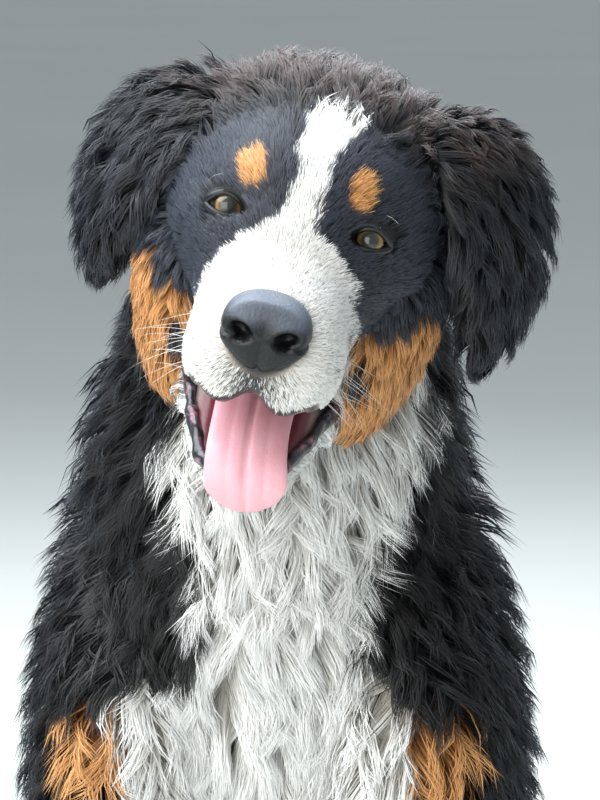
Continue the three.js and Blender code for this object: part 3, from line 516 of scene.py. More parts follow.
def heightOver(part, points):  # height over a part, share and turn on it, the way along it and its depth of fur
    ts = np.linspace(0, 1, 33)
    centres, alongs = sections(part, ts)[:2]
    length = np.linalg.norm(np.diff(centres, axis=0), axis=1).sum()
    local = unplaced(points, part["place"])
    nearest = np.concatenate([
        ((some[:, None] - centres[None]) ** 2).sum(-1).argmin(1) for some in np.array_split(local, 8)
    ])
    t = np.clip(ts[nearest] + dots(local - centres[nearest], alongs[nearest]) / length, 0, 1)
    centre, along, wideAxis, deepAxis, wide, deep, square, fur, rounding = sections(part, t)
    out = local - centre
    x, y, past = dots(out, wideAxis), dots(out, deepAxis), np.abs(dots(out, along))
    rounding = np.maximum(rounding, 0.1)
    share = np.sqrt((x / (wide * rounding)) ** 2 + (y / (deep * rounding)) ** 2)
    radius = np.sqrt(x**2 + y**2) / np.maximum(share, 0.05)
    height = np.hypot(np.maximum(0, (share - 1) * radius), np.maximum(0, past - 2))
    lie = unit(along @ part["place"][0].T * part["lie"] + [0, 0, -part["drop"]])
    return height, t, np.arctan2(y / deep, x / wide) % (2 * pi), lie, fur


def fieldsAt(points):
    # the nearest part with share and turn on it, and the hair's lie and depth, weighted by exp(-height / blendWidth)
    rows = [heightOver(part, points) for part in parts.values()]
    heights, shares, turns, lies, depths = (np.array(column) for column in zip(*rows))
    best = heights.argmin(0)
    pick = np.arange(len(points))
    weight = np.exp(-(heights - heights[best, pick]) / blendWidth)
    weight /= weight.sum(0)
    return {
        "part": best, "share": shares[best, pick], "turn": turns[best, pick],
        "lie": np.einsum("ij,ijk->jk", weight, lies), "depth": (weight * depths).sum(0),
    }


partNames = list(parts)
skinFields = fieldsAt(skinPoints)
skinKinds = np.array([part["kind"] for part in parts.values()])[skinFields["part"]]
skinHead = unplaced(skinPoints, headPlace)
print("fields ready")

# Markings: where the coat is white or rust. Pairs are the two ends of a gradual change.
blaze = {  # height over the eyes, half width and middle of the white
    "height": (-60, -40, -30, -22, -14, -6, 0, 10, 20, 34, 44, 52, 60),
    "half": (39, 38, 36, 32.5, 26, 14, 9, 7, 6.2, 8.3, 12, 13, 9),
    "middle": (0, 0, 0, 0, 0, 0, 0, 0.5, 2.5, 1.5, 4, 6, 8),
    "top": (54, 61), "soft": 2.8,
}
cheek = {
    "across": (38, 49, 62, 68, 80), "upper": (-48, -46, -43, -31, -28), "lower": -97, "inner": (36, 40),
    "outer": (87, 93), "back": (48, 66),
}
chin = {"sides": (54, 64), "back": (40, 70)}
beard = {"halfWide": 13, "top": (38, 44), "bottom": (56, 64), "back": (68, 80), "dark": 0.85}
mouthCorner = {"across": 45, "up": -69}
browSpot = {"across": 26.5, "up": 20, "halfWide": 7, "halfHigh": 10.5}
bib = {  # height over the floor, half width and middle of the white chest
    "height": (60, 200, 318, 342, 354, 366, 385, 409, 437, 456, 471, 485, 500, 530, 560),
    "half": (48, 62, 77, 74, 64, 41, 35, 38, 42, 50, 55, 60, 60, 48, 30),
    "middle": (-18, -18, -25, -28, -29, -18, -19, -20, -16, -17, -13, -9, -7, -6, -8),
    "soft": 4,
}
chestRust = {"bottom": (292, 306), "top": (332, 344), "inner": (68, 76), "outer": (96, 106)}
midline = {  # the body's middle line: only what is in front of it is white
    "up": (-6, 70, 148, 216, 284, 344, 402, 452, 508, 586),
    "back": (178, 162, 124, 72, 14, -34, -64, -80, -98, -122),
}
legs = {
    "sock": (52, 66), "foreTop": (210, 240), "allRound": (90, 130), "thighTop": (96, 128), "thighFront": (-30, -6),
    "hockBack": (96, 130), "hockFoot": (22, 40), "toes": 24,
}
tailMarks = {"white": (124, 136), "rustEnd": (232, 250), "rustTop": (44, 60)}


def markings(points, kind):
    # white, rust and the fading of the black, each from 0 to 1, from a place and the kind of part it is on.
    # The fading is 0 on the sleek face, where it gives the tips a painted bluish sky sheen, a half on the body and 1
    # on the sunburnt crown.
    head, body = unplaced(points, headPlace), unplaced(points, bodyPlace)
    x, back, up = np.abs(head[:, 0]), head[:, 1], head[:, 2]
    high = up * cos(faceLean) + back * sin(faceLean) + 3.5
    rough = wobble(head, 9) * 2.2 + wobble(head[:, ::-1], 3.1) * 0.9
    half = np.interp(high, blaze["height"], blaze["half"])
    off = np.abs(head[:, 0] - np.interp(high, blaze["height"], blaze["middle"]))
    stripe = climb(half - off + rough * 1.3, -blaze["soft"], blaze["soft"]) * fade(high + rough, *blaze["top"])
    tuft = np.exp(-((x / beard["halfWide"]) ** 2)) * climb(-up, *beard["top"]) * climb(-back, *beard["back"])
    stripe *= fade(back, 18, 34) * (1 - beard["dark"] * tuft * fade(-up, *beard["bottom"]))
    under = climb(cheek["lower"] - high, -4, 8) * fade(back, *chin["back"]) * fade(x + rough, *chin["sides"])
    patch = climb(np.interp(x, cheek["across"], cheek["upper"]) - high + rough * 1.6, -3, 3)
    patch *= climb(high - cheek["lower"] + rough * 2, -5, 5) * climb(x, *cheek["inner"])
    patch *= fade(x, *cheek["outer"]) * fade(back, *cheek["back"])
    patch *= climb(np.hypot((x - mouthCorner["across"]) / 6, (high - mouthCorner["up"]) / 9), 0.6, 1)
    across, above = (x - browSpot["across"]) / browSpot["halfWide"], (high - browSpot["up"]) / browSpot["halfHigh"]
    spot = climb(1 - np.hypot(across, above) + rough * 0.09, -0.15, 0.35) * fade(back, 20, 30)
    jowl = climb(x, 35, 42) * climb(high, cheek["lower"] - 4, cheek["lower"] + 6)

    slow = wobble(body, 26) * 7 + wobble(body[:, ::-1], 9) * 3
    front = climb(np.interp(body[:, 2], midline["up"], midline["back"]) - body[:, 1], 4, 22)
    half = np.interp(points[:, 2], bib["height"], bib["half"])
    off = np.abs(points[:, 0] - np.interp(points[:, 2], bib["height"], bib["middle"]))
    chest = climb(half - off + slow, -bib["soft"], bib["soft"]) * front * climb(points[:, 2], 60, 90)
    corner = climb(points[:, 2] + slow, *chestRust["bottom"]) * fade(points[:, 2] + slow * 0.6, *chestRust["top"])
    corner *= climb(off, *chestRust["inner"]) * fade(off + slow * 0.4, *chestRust["outer"]) * front

    z = points[:, 2] + slow * 0.7
    frontSide = climb(-80 - body[:, 1] + np.interp(body[:, 2], (30, 150, 260), (-34, -12, 10)), -8, 8)
    frontSide = np.maximum(frontSide, fade(z, *legs["allRound"]))
    foreRust = climb(z, *legs["sock"]) * fade(z, *legs["foreTop"]) * frontSide
    thighRust = climb(-body[:, 1] + slow, *legs["thighFront"]) * fade(z, *legs["thighTop"])
    hindRust = 1 - 0.9 * climb(body[:, 1] + slow, *legs["hockBack"]) * climb(z, *legs["hockFoot"])
    toes = climb(legs["toes"] - body[:, 1] + slow, -6, 6)
    tip = climb(-body[:, 0] + slow, *tailMarks["white"])
    tailRust = fade(body[:, 1], *tailMarks["rustEnd"]) * fade(points[:, 2], *tailMarks["rustTop"])

    face = (np.maximum(stripe, under), np.maximum(patch, spot))
    table = {  # white and rust by kind of part
        "head": face, "cheek": face, "jaw": (1 - jowl, jowl), "body": (chest * (1 - corner), corner),
        "foreleg": (fade(z, *legs["sock"]), foreRust), "forefoot": (1, 0), "thigh": (0, thighRust),
        "hindleg": (0, hindRust), "hindfoot": (toes, 1 - toes), "tail": (tip, tailRust), "ear": (0, 0),
    }
    white, rust = (np.select([kind == k for k in table], [table[k][i] + 0 * z for k in table]) for i in (0, 1))
    crown = climb(back + 2 * rough, -4, 44) * climb(up + 2 * rough, 10, 48)
    # 0 on the face's front, which picks the painted sky sheen of its tips
    brownAndSkySheen = np.where(np.isin(kind, ("head", "jaw", "cheek")), 0.5 * climb(back, 0, 34) + 0.5 * crown, 0.5)
    return white, rust * (1 - white), np.where(kind == "ear", 0.35 + 0.55 * crown, brownAndSkySheen)


def bareSkin(headNormals):  # lip and lid leather, and the inside of the mouth, each from 0 to 1
    x, back, up = np.abs(skinHead[:, 0]), skinHead[:, 1], skinHead[:, 2]
    onHead, onJaw = skinKinds == "head", skinKinds == "jaw"
    facingDown, underMuzzle = climb(-headNormals[:, 2], 0.15, 0.5), climb(-up, 34, 42)
    roof = facingDown * fade(x, 24, 29) * climb(-back, -14, -4) * fade(-back, 78, 88) * underMuzzle
    trough = climb(headNormals[:, 2], 0.0, 0.35) * fade(x, 25, 31) * fade(back, 10, 24)
    mouth = np.where(onJaw, trough, onHead * roof)
    upperLip = onHead * facingDown * fade(x, 29, 34) * climb(-back, -20, -6) * underMuzzle
    lowerLip = climb(headNormals[:, 2], 0.1, 0.4) * fade(back, 12, 22)
    lip = np.where(onJaw, lowerLip, upperLip) * (1 - mouth)
    for _, sign in sides:
        off = skinHead - eyeCentre(sign) - [sign * eye["outward"], 0, 0]
        near = np.hypot(off[:, 0] / (eye["halfWide"] + 2.6), off @ faceUp / (eye["halfHigh"] + 2.6))
        lip = np.maximum(lip, fade(near, 0.85, 1.05) * (back < 10) * onHead)
    noseRim = np.hypot(x / 21, (up + 28) / 19)
    return np.maximum(lip, fade(noseRim, 0.9, 1.0) * climb(-back, 78, 84) * onHead), mouth


skinWhite, skinRust, skinBrownAndSkySheen = markings(skinPoints, skinKinds)
skinLip, skinMouth = bareSkin(skinNormals @ headPlace[0])


def combedLie():
    # the parts' lies, fanned out from the nose and combed back over the face, laid into the skin
    lie = skinFields["lie"]
    fan = unit(skinHead - [0, -108, -24])
    fan[:, 1] = np.maximum(fan[:, 1], 0.35)
    sideways = np.sign(skinHead[:, 0]) * climb(np.abs(skinHead[:, 0]), 4, 30)
    comb = np.stack([sideways * 0.5, sideways * 0 + 1, 0.25 - 0.9 * climb(-skinHead[:, 2], 0, 60)], -1)
    nearNose = climb(-skinHead[:, 1], 30, 80)[:, None]
    face = unit(fan * nearNose + unit(comb) * (1 - nearNose)) @ headPlace[0].T
    share = fade(skinHead[:, 1], 30, 70)[:, None]
    lie = np.where((skinKinds == "head")[:, None], face * share + lie * (1 - share), lie)
    return unit(lie - skinNormals * dots(lie, skinNormals)[:, None])


def treeOf(points):
    tree = KDTree(len(points))
    for index, point in enumerate(points):
        tree.insert(point, index)
    tree.balance()
    return tree


def nearestIn(tree, points):
    return np.fromiter((tree.find(p)[1] for p in points), int, len(points))


skinLie = combedLie()
skinTree = treeOf(skinPoints)

# Coat: each piece lists its parts, its tufts and their form. Sizes in millimetres.
# points is the number of places along a tuft, spacing is between clumps, length is in coat depths.
faceFront, faceBack = -24, 6  # the muzzle's coat ends at the first, and the short face coat at the second
short = {"points": 3, "round": 0.1, "clump": 0.08, "wave": 0.15, "stray": 0.06, "fall": 1.6}
wool = {"points": 4, "round": 0.6, "clump": 0.42, "wave": 2.8, "stray": 0.5, "fall": 2.2, "lift": 0.95}
coats = {}


def addCoat(name, members, tufts, spacing, length, least, width, region=None, style=wool, **form):
    coats["coat" + name] = {
        **style, "parts": members, "tufts": tufts, "spacing": spacing, "length": length, "least": least,
        "width": width, "region": region, **form,
    }


addCoat("Muzzle", ["head"], 50000, 3.2, 1.4, 4.2, 0.3, lambda h, w: h[:, 1] < faceFront, short, lift=0.4)
addCoat("Face", ["head"], 50000, 4, 1.4, 5, 0.34, lambda h, w: (h[:, 1] >= faceFront) & (h[:, 1] < faceBack), short,
        lift=0.45)
addCoat("Crown", ["head"], 34000, 6, 1.6, 7, 0.46, lambda h, w: h[:, 1] >= faceBack, wave=1.8, stray=0.35,
        ramp=(faceBack - 8, 50))
addCoat("Jaw", ["jaw"], 8000, 5, 1.6, 6, 0.5, wave=1.2, stray=0.25)
addCoat("NeckFront", ["neck"], 28000, 7, 1.15, 22, 0.5, lambda h, w: w[:, 1] < -112, clump=0.3, wave=3.2)
addCoat("NeckBack", ["neck"], 7000, 10, 1.3, 28, 1.4, lambda h, w: w[:, 1] >= -112)
addCoat("Chest", ["torso"], 33000, 8, 1.1, 20, 0.5, lambda h, w: (w[:, 1] < -60) & (w[:, 2] > 250), clump=0.22,
        lift=0.8, stray=0.38, wave=2.2)
addCoat("Back", ["torso"], 14000, 12, 1.5, 28, 1.9, lambda h, w: (w[:, 1] >= -60) | (w[:, 2] <= 250), lift=0.85,
        stray=0.3)
addCoat("Tail", ["tail"], 5000, 9, 1.4, 24, 1.6)
sleek = {"wave": 1.0, "stray": 0.2, "lift": 0.75}  # on the lower legs
for end, _ in sides:
    addCoat("Cheek" + end, ["cheek" + end], 12000, 5, 1.25, 8, 0.36, wave=0.9, stray=0.22, lift=0.65, clump=0.3)
    addCoat("Ear" + end, ["ear" + end], 13000, 6, 1.8, 13, 0.55, wave=2.2, stray=0.3, lift=0.85)
    addCoat("Shoulder" + end, ["shoulder" + end], 13000, 7, 1.3, 22, 0.62)
    addCoat("Foreleg" + end, ["forearm" + end, "forepaw" + end], 6000, 6, 1.5, 7, 1.1, **sleek)
    addCoat("Thigh" + end, ["thigh" + end], 6000, 11, 1.5, 24, 1.9, stray=0.3, lift=0.85)
    addCoat("Hindleg" + end, ["shank" + end, "metatarsus" + end, "hindpaw" + end], 4500, 6, 1.5, 7, 1.3, **sleek)
guideSteps = 9
onFloor = 3  # no hair grows on the flats that the dog rests on
tuftForm = {"reach": (0.28, 0.75), "scatter": 0.12, "frizz": 0.05, "lifting": 0.06, "twist": 0.7, "patch": 0.003}
tapers = {3: (0.85, 1, 0), 4: (0.8, 1, 0.8, 0)}  # width at each place along a tuft
lean = {"ribbon": 0.3, "skin": 0.9, "edge": 0.35}  # how the shading mixes the flat of a tuft and the skin's normal


def scatter(faces, areas, count):  # places spread at random over faces, by area: root p = a u + b v + c (1 - u - v)
    picked = dice.choice(len(faces), count, p=areas / areas.sum())
    u, v = dice.random((2, count))
    flip = u + v > 1
    u, v = np.where(flip, 1 - u, u), np.where(flip, 1 - v, v)
    a, b, c = (skinPoints[faces[picked, k]] for k in range(3))
    return a * u[:, None] + b * v[:, None] + c * (1 - u - v)[:, None], faces[picked, 0]


def growGuides(roots, at, spec):
    # the middle hair of each clump: steps along the lie, held at height depth lift (1 - (1 - s)^fall)
    count = len(roots)
    depth = skinFields["depth"][at]
    length = np.maximum(depth * spec["length"], spec["least"]) * dice.uniform(0.85, 1.15, count)
    rise = depth * spec["lift"] * dice.uniform(0.75, 1.05, count)
    if "ramp" in spec:  # short and flat where the face's coat begins, long and loose further back
        grown = climb(skinHead[at, 1], *spec["ramp"])
        length *= 0.6 + 0.4 * grown
        rise *= 0.4 + 0.6 * grown
    path = np.empty((guideSteps, count, 3))
    normal = np.empty_like(path)
    path[0], normal[0] = roots, skinNormals[at]
    stray = dice.normal(0, spec["stray"], count)[:, None]
    for step in range(1, guideSteps):
        share = step / (guideSteps - 1)
        lie = skinLie[at]
        lie = unit(lie + np.cross(normal[step - 1], lie) * stray)
        p = path[step - 1] + lie * (length / (guideSteps - 1))[:, None]
        at = nearestIn(skinTree, p)
        over = dots(p - skinPoints[at], skinNormals[at])
        path[step] = p + skinNormals[at] * (rise * (1 - (1 - share) ** spec["fall"]) - over)[:, None]
        normal[step] = unit(normal[step - 1] + skinNormals[at])
    return path, normal, length


def growthArea(spec):  # the skin's triangles that a piece of coat grows on, and their areas
    chosen = np.isin(skinFields["part"], [partNames.index(n) for n in spec["parts"]])
    if spec["region"]:
        chosen &= spec["region"](skinHead, skinPoints)
    chosen &= (skinLip < 0.5) & (skinMouth < 0.5) & (skinPoints[:, 2] > onFloor)
    faces = skinFaces[chosen[skinFaces].all(1)]
    a, b, c = (skinPoints[faces[:, k]] for k in range(3))
    return faces, np.linalg.norm(np.cross(b - a, c - a), axis=1) / 2


def tuftLines(spec, guides, guide, offset):
    # p(s) = guide(L s) + offset (1 - clump s) + wave, for each tuft, with the skin's normal beside it
    path, normal, length = guides
    count = len(guide)
    reach = dice.beta(3.2, 1.6, count) * tuftForm["reach"][1] + tuftForm["reach"][0]
    wavePhase = dice.uniform(0, 2 * pi, path.shape[1])[guide] + dice.normal(0, 0.5, count)
    waveTurns = dice.uniform(0.5, 1.0, path.shape[1])[guide]
    frizz = dice.normal(0, tuftForm["frizz"], count) * length[guide]
    lifting = dice.normal(0, tuftForm["lifting"], count) * length[guide]
    clump = np.clip(spec["clump"] + dice.normal(0, tuftForm["scatter"], count), 0, 0.95)
    points = np.empty((spec["points"], count, 3))
    normals = np.empty_like(points)
    for k, s in enumerate(np.linspace(0, 1, spec["points"])):
        along = np.clip(reach * s, 0, 1) * (guideSteps - 1)
        i = np.minimum(along.astype(int), guideSteps - 2)
        f = (along - i)[:, None]
        n = unit(normal[i, guide] * (1 - f) + normal[i + 1, guide] * f)
        across = np.cross(n, unit(path[i + 1, guide] - path[i, guide]))
        curl = spec["wave"] * s
        bend = curl * np.sin(wavePhase + 2 * pi * waveTurns * s) + frizz * s**2
        rise = 0.6 * curl * np.cos(wavePhase + 2 * pi * waveTurns * s) + lifting * s
        points[k] = path[i, guide] * (1 - f) + path[i + 1, guide] * f + offset * (1 - clump * s)[:, None]
        points[k] += across * bend[:, None] + n * rise[:, None]
        normals[k] = n
    return points, normals


def alongTufts(left, right, last):  # two corners at each place but the last, which has one, tuft by tuft
    pairs = np.stack([left[:-1], right[:-1]], 1).reshape(-1, *left.shape[1:])
    return np.concatenate([pairs, last[None]]).transpose(1, 0, 2).reshape(-1, 3)


def setMap(obj, name, uv):
    obj.data.uv_layers.new(name=name).data.foreach_set("uv", uv.astype(np.float32).ravel())


def growCoat(name, spec):
    # ribbons along the tufts' lines: left and right = p -+ w taper(s) / 2, down to a point at the tip
    faces, areas = growthArea(spec)
    guideRoots, guideAt = scatter(faces, areas, int(areas.sum() / spec["spacing"] ** 2))
    guides = growGuides(guideRoots, guideAt, spec)
    count, steps = spec["tufts"], spec["points"]
    roots, at = scatter(faces, areas, count)
    guide = nearestIn(treeOf(guideRoots), roots)
    offset = roots - guideRoots[guide]
    points, normals = tuftLines(spec, guides, guide, offset)
    tangent = unit(np.gradient(points, axis=0))
    twist = dice.normal(0, tuftForm["twist"], count)[None, :, None]
    across = unit(np.cross(normals, tangent))
    wideWay = across * np.cos(twist) + np.cross(tangent, across) * np.sin(twist)
    width = (spec["width"] * dice.uniform(0.7, 1.3, count))[None, :, None]
    half = np.array(tapers[steps])[:, None, None] * width / 2
    corners = alongTufts(points - wideWay * half, points + wideWay * half, points[-1])
    # hair that would pass through the floor is laid out on it, within 2 mm
    corners[:, 2] = np.where(corners[:, 2] < 2, 0.4 + 1.6 * np.exp((corners[:, 2] - 2) / 12), corners[:, 2])
    perTuft = 2 * steps - 1
    strip = [t for k in range(0, 2 * steps - 4, 2) for t in ((k, k + 3, k + 1), (k, k + 2, k + 3))]
    strip = np.array(strip + [(2 * steps - 4, 2 * steps - 2, 2 * steps - 3)])
    triangles = (np.arange(count)[:, None, None] * perTuft + strip[None]).reshape(-1, 3)
    obj = makeObject(name, corners, triangles)

    # the strand map runs across and along each tuft; the bake map keeps each tuft a small patch at its root's place
    share = np.linspace(0, 1, steps)
    strand = np.stack([[0.0, 1.0] * (steps - 1) + [0.5], [*np.repeat(share[:-1], 2), 1.0]], -1)
    setMap(obj, "strand", np.tile(strand[strip.ravel()], (count, 1)))
    partOf = skinFields["part"][at]
    members = sorted(set(partOf))
    column = np.searchsorted(members, partOf) + skinFields["turn"][at] / (2 * pi)
    place = np.stack([column / len(members), skinFields["share"][at]], -1)
    patch = (strand - 0.5) * tuftForm["patch"]
    setMap(obj, "OFBake", place[:, None, :] * 0.994 + 0.003 + patch[strip.ravel()][None])

    white, rust, brownAndSkySheen = markings(roots + (points[-1] - roots) * 0.45, skinKinds[at])
    chance = dice.random((3, count))
    white, rust = (np.where(c < v, 1, v * low) for c, v, low in zip(chance, (white, rust), (0.25, 0.3)))
    addField(obj, "pelt", np.repeat(np.stack([white, rust, brownAndSkySheen, chance[2]], -1), perTuft, 0))

    # shading leans from the flat of each ribbon towards the skin's normal, rounded over the clump and the ribbon
    ribbon = unit(np.cross(wideWay, tangent))
    ribbon *= np.sign(dots(ribbon, normals))[:, :, None]
    soft = unit(ribbon * lean["ribbon"] + normals * lean["skin"] + offset[None] / spec["spacing"] * spec["round"])
    shading = alongTufts(unit(soft - wideWay * lean["edge"]), unit(soft + wideWay * lean["edge"]), soft[-1])
    obj.data.normals_split_custom_set_from_vertices(shading)
    print(name, len(triangles), "triangles")
    return obj


# Finishes
def linear(code):  # sRGB hex to linear: ((c + 0.055) / 1.055)^2.4 over 0.04045
    shown = [int(code[k:k + 2], 16) / 255 for k in (1, 3, 5)]
    return tuple(((c + 0.055) / 1.055) ** 2.4 if c > 0.04045 else c / 12.92 for c in shown) + (1.0,)


def newMaterial(name, **values):  # values are set on the shader's own sockets
    material = bpy.data.materials.new(name)
    material.use_nodes = True
    tree = material.node_tree
    shader = tree.nodes["Principled BSDF"]
    for socket, value in values.items():
        shader.inputs[socket.replace("_", " ")].default_value = value
    return material, tree, shader


def addNode(tree, kind, settings=None, links=None):
    node = tree.nodes.new("ShaderNode" + kind)
    for name, value in (settings or {}).items():
        if isinstance(name, str) and hasattr(node, name):
            setattr(node, name, value)
        else:
            node.inputs[name].default_value = value
    for name, output in (links or {}).items():
        tree.links.new(output, node.inputs[name])
    return node


mixFactor, mixA, mixB, mixed = 0, 6, 7, 2  # sockets of a colour Mix node


def mix(tree, factor, a, b):  # a and b are outputs or hex colours
    settings, links = {"data_type": "RGBA"}, {mixFactor: factor}
    for socket, value in ((mixA, a), (mixB, b)):
        if isinstance(value, str):
            settings[socket] = linear(value)
        else:
            links[socket] = value
    return addNode(tree, "Mix", settings, links).outputs[mixed]


def noise(tree, scale, detail=2.0, kind="TexNoise", **more):  # a pattern in place, of a scale per metre
    place = addNode(tree, "TexCoord")
    node = addNode(tree, kind, {"Scale": scale, "Detail": detail, **more}, {"Vector": place.outputs["Object"]})
    return node.outputs[0]


def ranged(tree, value, low, high, toLow=0.0, toHigh=1.0, **more):
    settings = {"From Min": low, "From Max": high, "To Min": toLow, "To Max": toHigh, **more}
    return addNode(tree, "MapRange", settings, {"Value": value}).outputs["Result"]


def channels(tree, name):  # an attribute and its colour's channels
    field = addNode(tree, "Attribute", {"attribute_name": name})
    return field, addNode(tree, "SeparateColor", {}, {"Color": field.outputs["Color"]})


def stopped(tree, value, stops):  # colours by a value, from (position, colour) stops
    ramp = addNode(tree, "ValToRGB", {}, {"Fac": value})
    while len(ramp.color_ramp.elements) < len(stops):
        ramp.color_ramp.elements.new(0.5)
    for element, (position, code) in zip(ramp.color_ramp.elements, stops):
        element.position, element.color = position, linear(code)
    return ramp.outputs[0]


def painted(tree, shader, base, height=None, strength=0.0, distance=0.0, invert=False):
    tree.links.new(base, shader.inputs["Base Color"])
    if height:
        form = {"Strength": strength, "Distance": distance, "invert": invert}
        bump = addNode(tree, "Bump", form, {"Height": height})
        tree.links.new(bump.outputs[0], shader.inputs["Normal"])


def mottled(name, tones, drift, grain, **values):
    # two tones that drift by noise (scale, detail), over grain (scale, detail, strength, distance)
    material, tree, shader = newMaterial(name, **values)
    base = mix(tree, noise(tree, *drift), *tones)
    painted(tree, shader, base, *((noise(tree, *grain[:2]), *grain[2:]) if grain else ()))
    return material


# Guard hair and undercoat of a long-coated dog, faintly glossy along its length, painted darker towards the root of
# each tuft as painted shade deep in the coat; the face's tips are painted paler and bluer as a painted sky sheen
coatColours = {
    "black": "#070709", "faceSkySheenTips": "#383d4a", "bodyTips": "#100d0d", "crownTips": "#584640",
    "white": ("#f0ece2", "#fffefb"), "rust": ("#b0712f", "#efb06e"), "vary": (0.92, 1.06),
}


def coatMaterial():
    material, tree, shader = newMaterial("longDogHair", Roughness=0.48, IOR=1.55, Specular_IOR_Level=0.45,
                                         Sheen_Weight=0.18, Sheen_Roughness=0.35, Sheen_Tint=(0.72, 0.84, 1.0, 1.0))
    pelt, mask = channels(tree, "pelt")
    strand = addNode(tree, "UVMap", {"uv_map": "strand"})
    along = addNode(tree, "SeparateXYZ", {}, {"Vector": strand.outputs["UV"]})
    # painted shade: every colour darkens from tip to root, where the coat shades itself
    tips = ranged(tree, along.outputs["Y"], 0.1, 0.95, interpolation_type="SMOOTHSTEP")
    toBody, toCrown = ranged(tree, mask.outputs["Blue"], 0, 0.5), ranged(tree, mask.outputs["Blue"], 0.5, 1)
    # painted sky sheen: the face's tips are painted paler and bluer than the black hair
    blackTip = mix(tree, toBody, coatColours["faceSkySheenTips"], coatColours["bodyTips"])
    blackTip = mix(tree, toCrown, blackTip, coatColours["crownTips"])
    base = mix(tree, mask.outputs["Green"], mix(tree, tips, coatColours["black"], blackTip),
               mix(tree, tips, *coatColours["rust"]))
    base = mix(tree, mask.outputs["Red"], base, mix(tree, tips, *coatColours["white"]))
    # hairs within a tuft, drawn about 0.2 mm apart: finer ones would not show
    streakAt = addNode(tree, "CombineXYZ", {}, {"X": along.outputs["X"], "Y": pelt.outputs["Alpha"]})
    streakScale = addNode(tree, "VectorMath", {"operation": "MULTIPLY", 1: (5, 97, 1)}, {0: streakAt.outputs[0]})
    streaks = addNode(tree, "TexNoise", {"Scale": 1.0, "Detail": 2.0}, {"Vector": streakScale.outputs[0]})
    value = ranged(tree, streaks.outputs[0], 0.3, 0.7, *coatColours["vary"])
    each = ranged(tree, pelt.outputs["Alpha"], 0, 1, *coatColours["vary"])
    product = addNode(tree, "Math", {"operation": "MULTIPLY"}, {0: value, 1: each})
    base = addNode(tree, "HueSaturation", {}, {"Color": base, "Value": product.outputs[0]}).outputs[0]
    painted(tree, shader, base)
    return material


# Bare skin under the coat, black lip and lid leather, and the pink of the mouth
skinColours = {"lip": "#17161a", "mouth": "#6e3238", "black": "#0e0d0f", "white": "#cfc4b6", "rust": "#7c451d"}


def skinMaterial():
    material, tree, shader = newMaterial("dogSkin")
    mask, leather = channels(tree, "pelt")[1], channels(tree, "bare")[1]
    base = mix(tree, mask.outputs["Green"], skinColours["black"], skinColours["rust"])
    base = mix(tree, mask.outputs["Red"], base, skinColours["white"])
    base = mix(tree, leather.outputs["Red"], base, skinColours["lip"])
    base = mix(tree, leather.outputs["Green"], base, skinColours["mouth"])
    painted(tree, shader, base, noise(tree, 900.0, 3.0), 0.4, 0.0004)
    wet = addNode(tree, "Math", {"operation": "MAXIMUM"}, {k: leather.outputs[k] for k in (0, 1)})
    tree.links.new(ranged(tree, wet.outputs[0], 0, 1, 0.7, 0.32), shader.inputs["Roughness"])
    return material


ones = np.ones(len(skinPoints))
addField(skinObject, "pelt", np.stack([skinWhite, skinRust, skinBrownAndSkySheen, ones], -1))
addField(skinObject, "bare", np.stack([skinLip, skinMouth, ones * 0, ones], -1))
skinObject.data.materials.clear()
dress(skinObject, skinMaterial())
fleshNodes = [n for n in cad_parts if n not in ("nose", "tongue", "eye_right", "eye_left")]
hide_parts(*fleshNodes)

hair = coatMaterial()
for name, spec in coats.items():
    dress(growCoat(name, spec), hair)


def looseTube(rows, around, rings, side=(1.0, 0, 0), domes=(0.1, 0.1), mould=None, place=headPlace):
    part = {"rows": np.array(rows, float), "side": np.array(side), "domes": domes, "mould": mould, "place": place}
    return closedTube(part, around, rings)


# Nose leather: a rounded pad with comma nostrils and a groove down to the lip
noseRows = (
    (0, -72, -27, 18, 17, 2, 0), (0, -82, -27, 21.5, 18.5, 2.5, 0), (0, -92, -27, 20.5, 17.5, 2.5, 0),
    (0, -98, -26.5, 16, 13, 2.4, 0),
)
nostril = {"across": 11, "up": -25.5, "wide": 5.2, "high": 4.2, "depth": 10}
noseForm = {"chin": 0.46, "slit": 3.2, "groove": 1.8, "wing": 2.4, "between": 1.2}


def nostrilHole(p):  # exp(-r^4) of an oval, and the slit that bends out and down from it
    x, z = np.abs(p[:, 0]), p[:, 2]
    out, up = x - nostril["across"], z - nostril["up"]
    hole = np.exp(-((out / nostril["wide"]) ** 2 + ((up - 0.12 * out) / nostril["high"]) ** 2) ** 2)
    slit = np.exp(-(((up + 1.5 + 0.16 * out) / 1.5) ** 2)) * climb(out, 1, 5)
    return hole, slit * fade(x, 19, 24)


def mouldNose(p, centre):
    # the pad narrows downwards; slits and groove go in, and the nostrils back between swollen wings
    p = p.copy()
    p[:, 0] *= 1 - noseForm["chin"] * climb(-p[:, 2], 30, 47)
    x, y, z = np.abs(p[:, 0]), p[:, 1], p[:, 2]
    front = climb(-y, 84, 95)
    hole, slit = nostrilHole(p)
    groove = np.exp(-(x**2)) * climb(-z, 20, 30)
    wing = np.exp(-(((x - nostril["across"] - 1) / 8.5) ** 2 + ((z - nostril["up"] - 2) / 7) ** 2))
    between = np.exp(-((x / 4.0) ** 2)) * climb(-z, 16, 26)
    inwards = slit * noseForm["slit"] * climb(-y, 78, 88) + groove * noseForm["groove"] * front
    p = p - unit(p - centre) * inwards[:, None]
    p[:, 1] += front * (nostril["depth"] * hole - noseForm["wing"] * wing + noseForm["between"] * between)
    return p


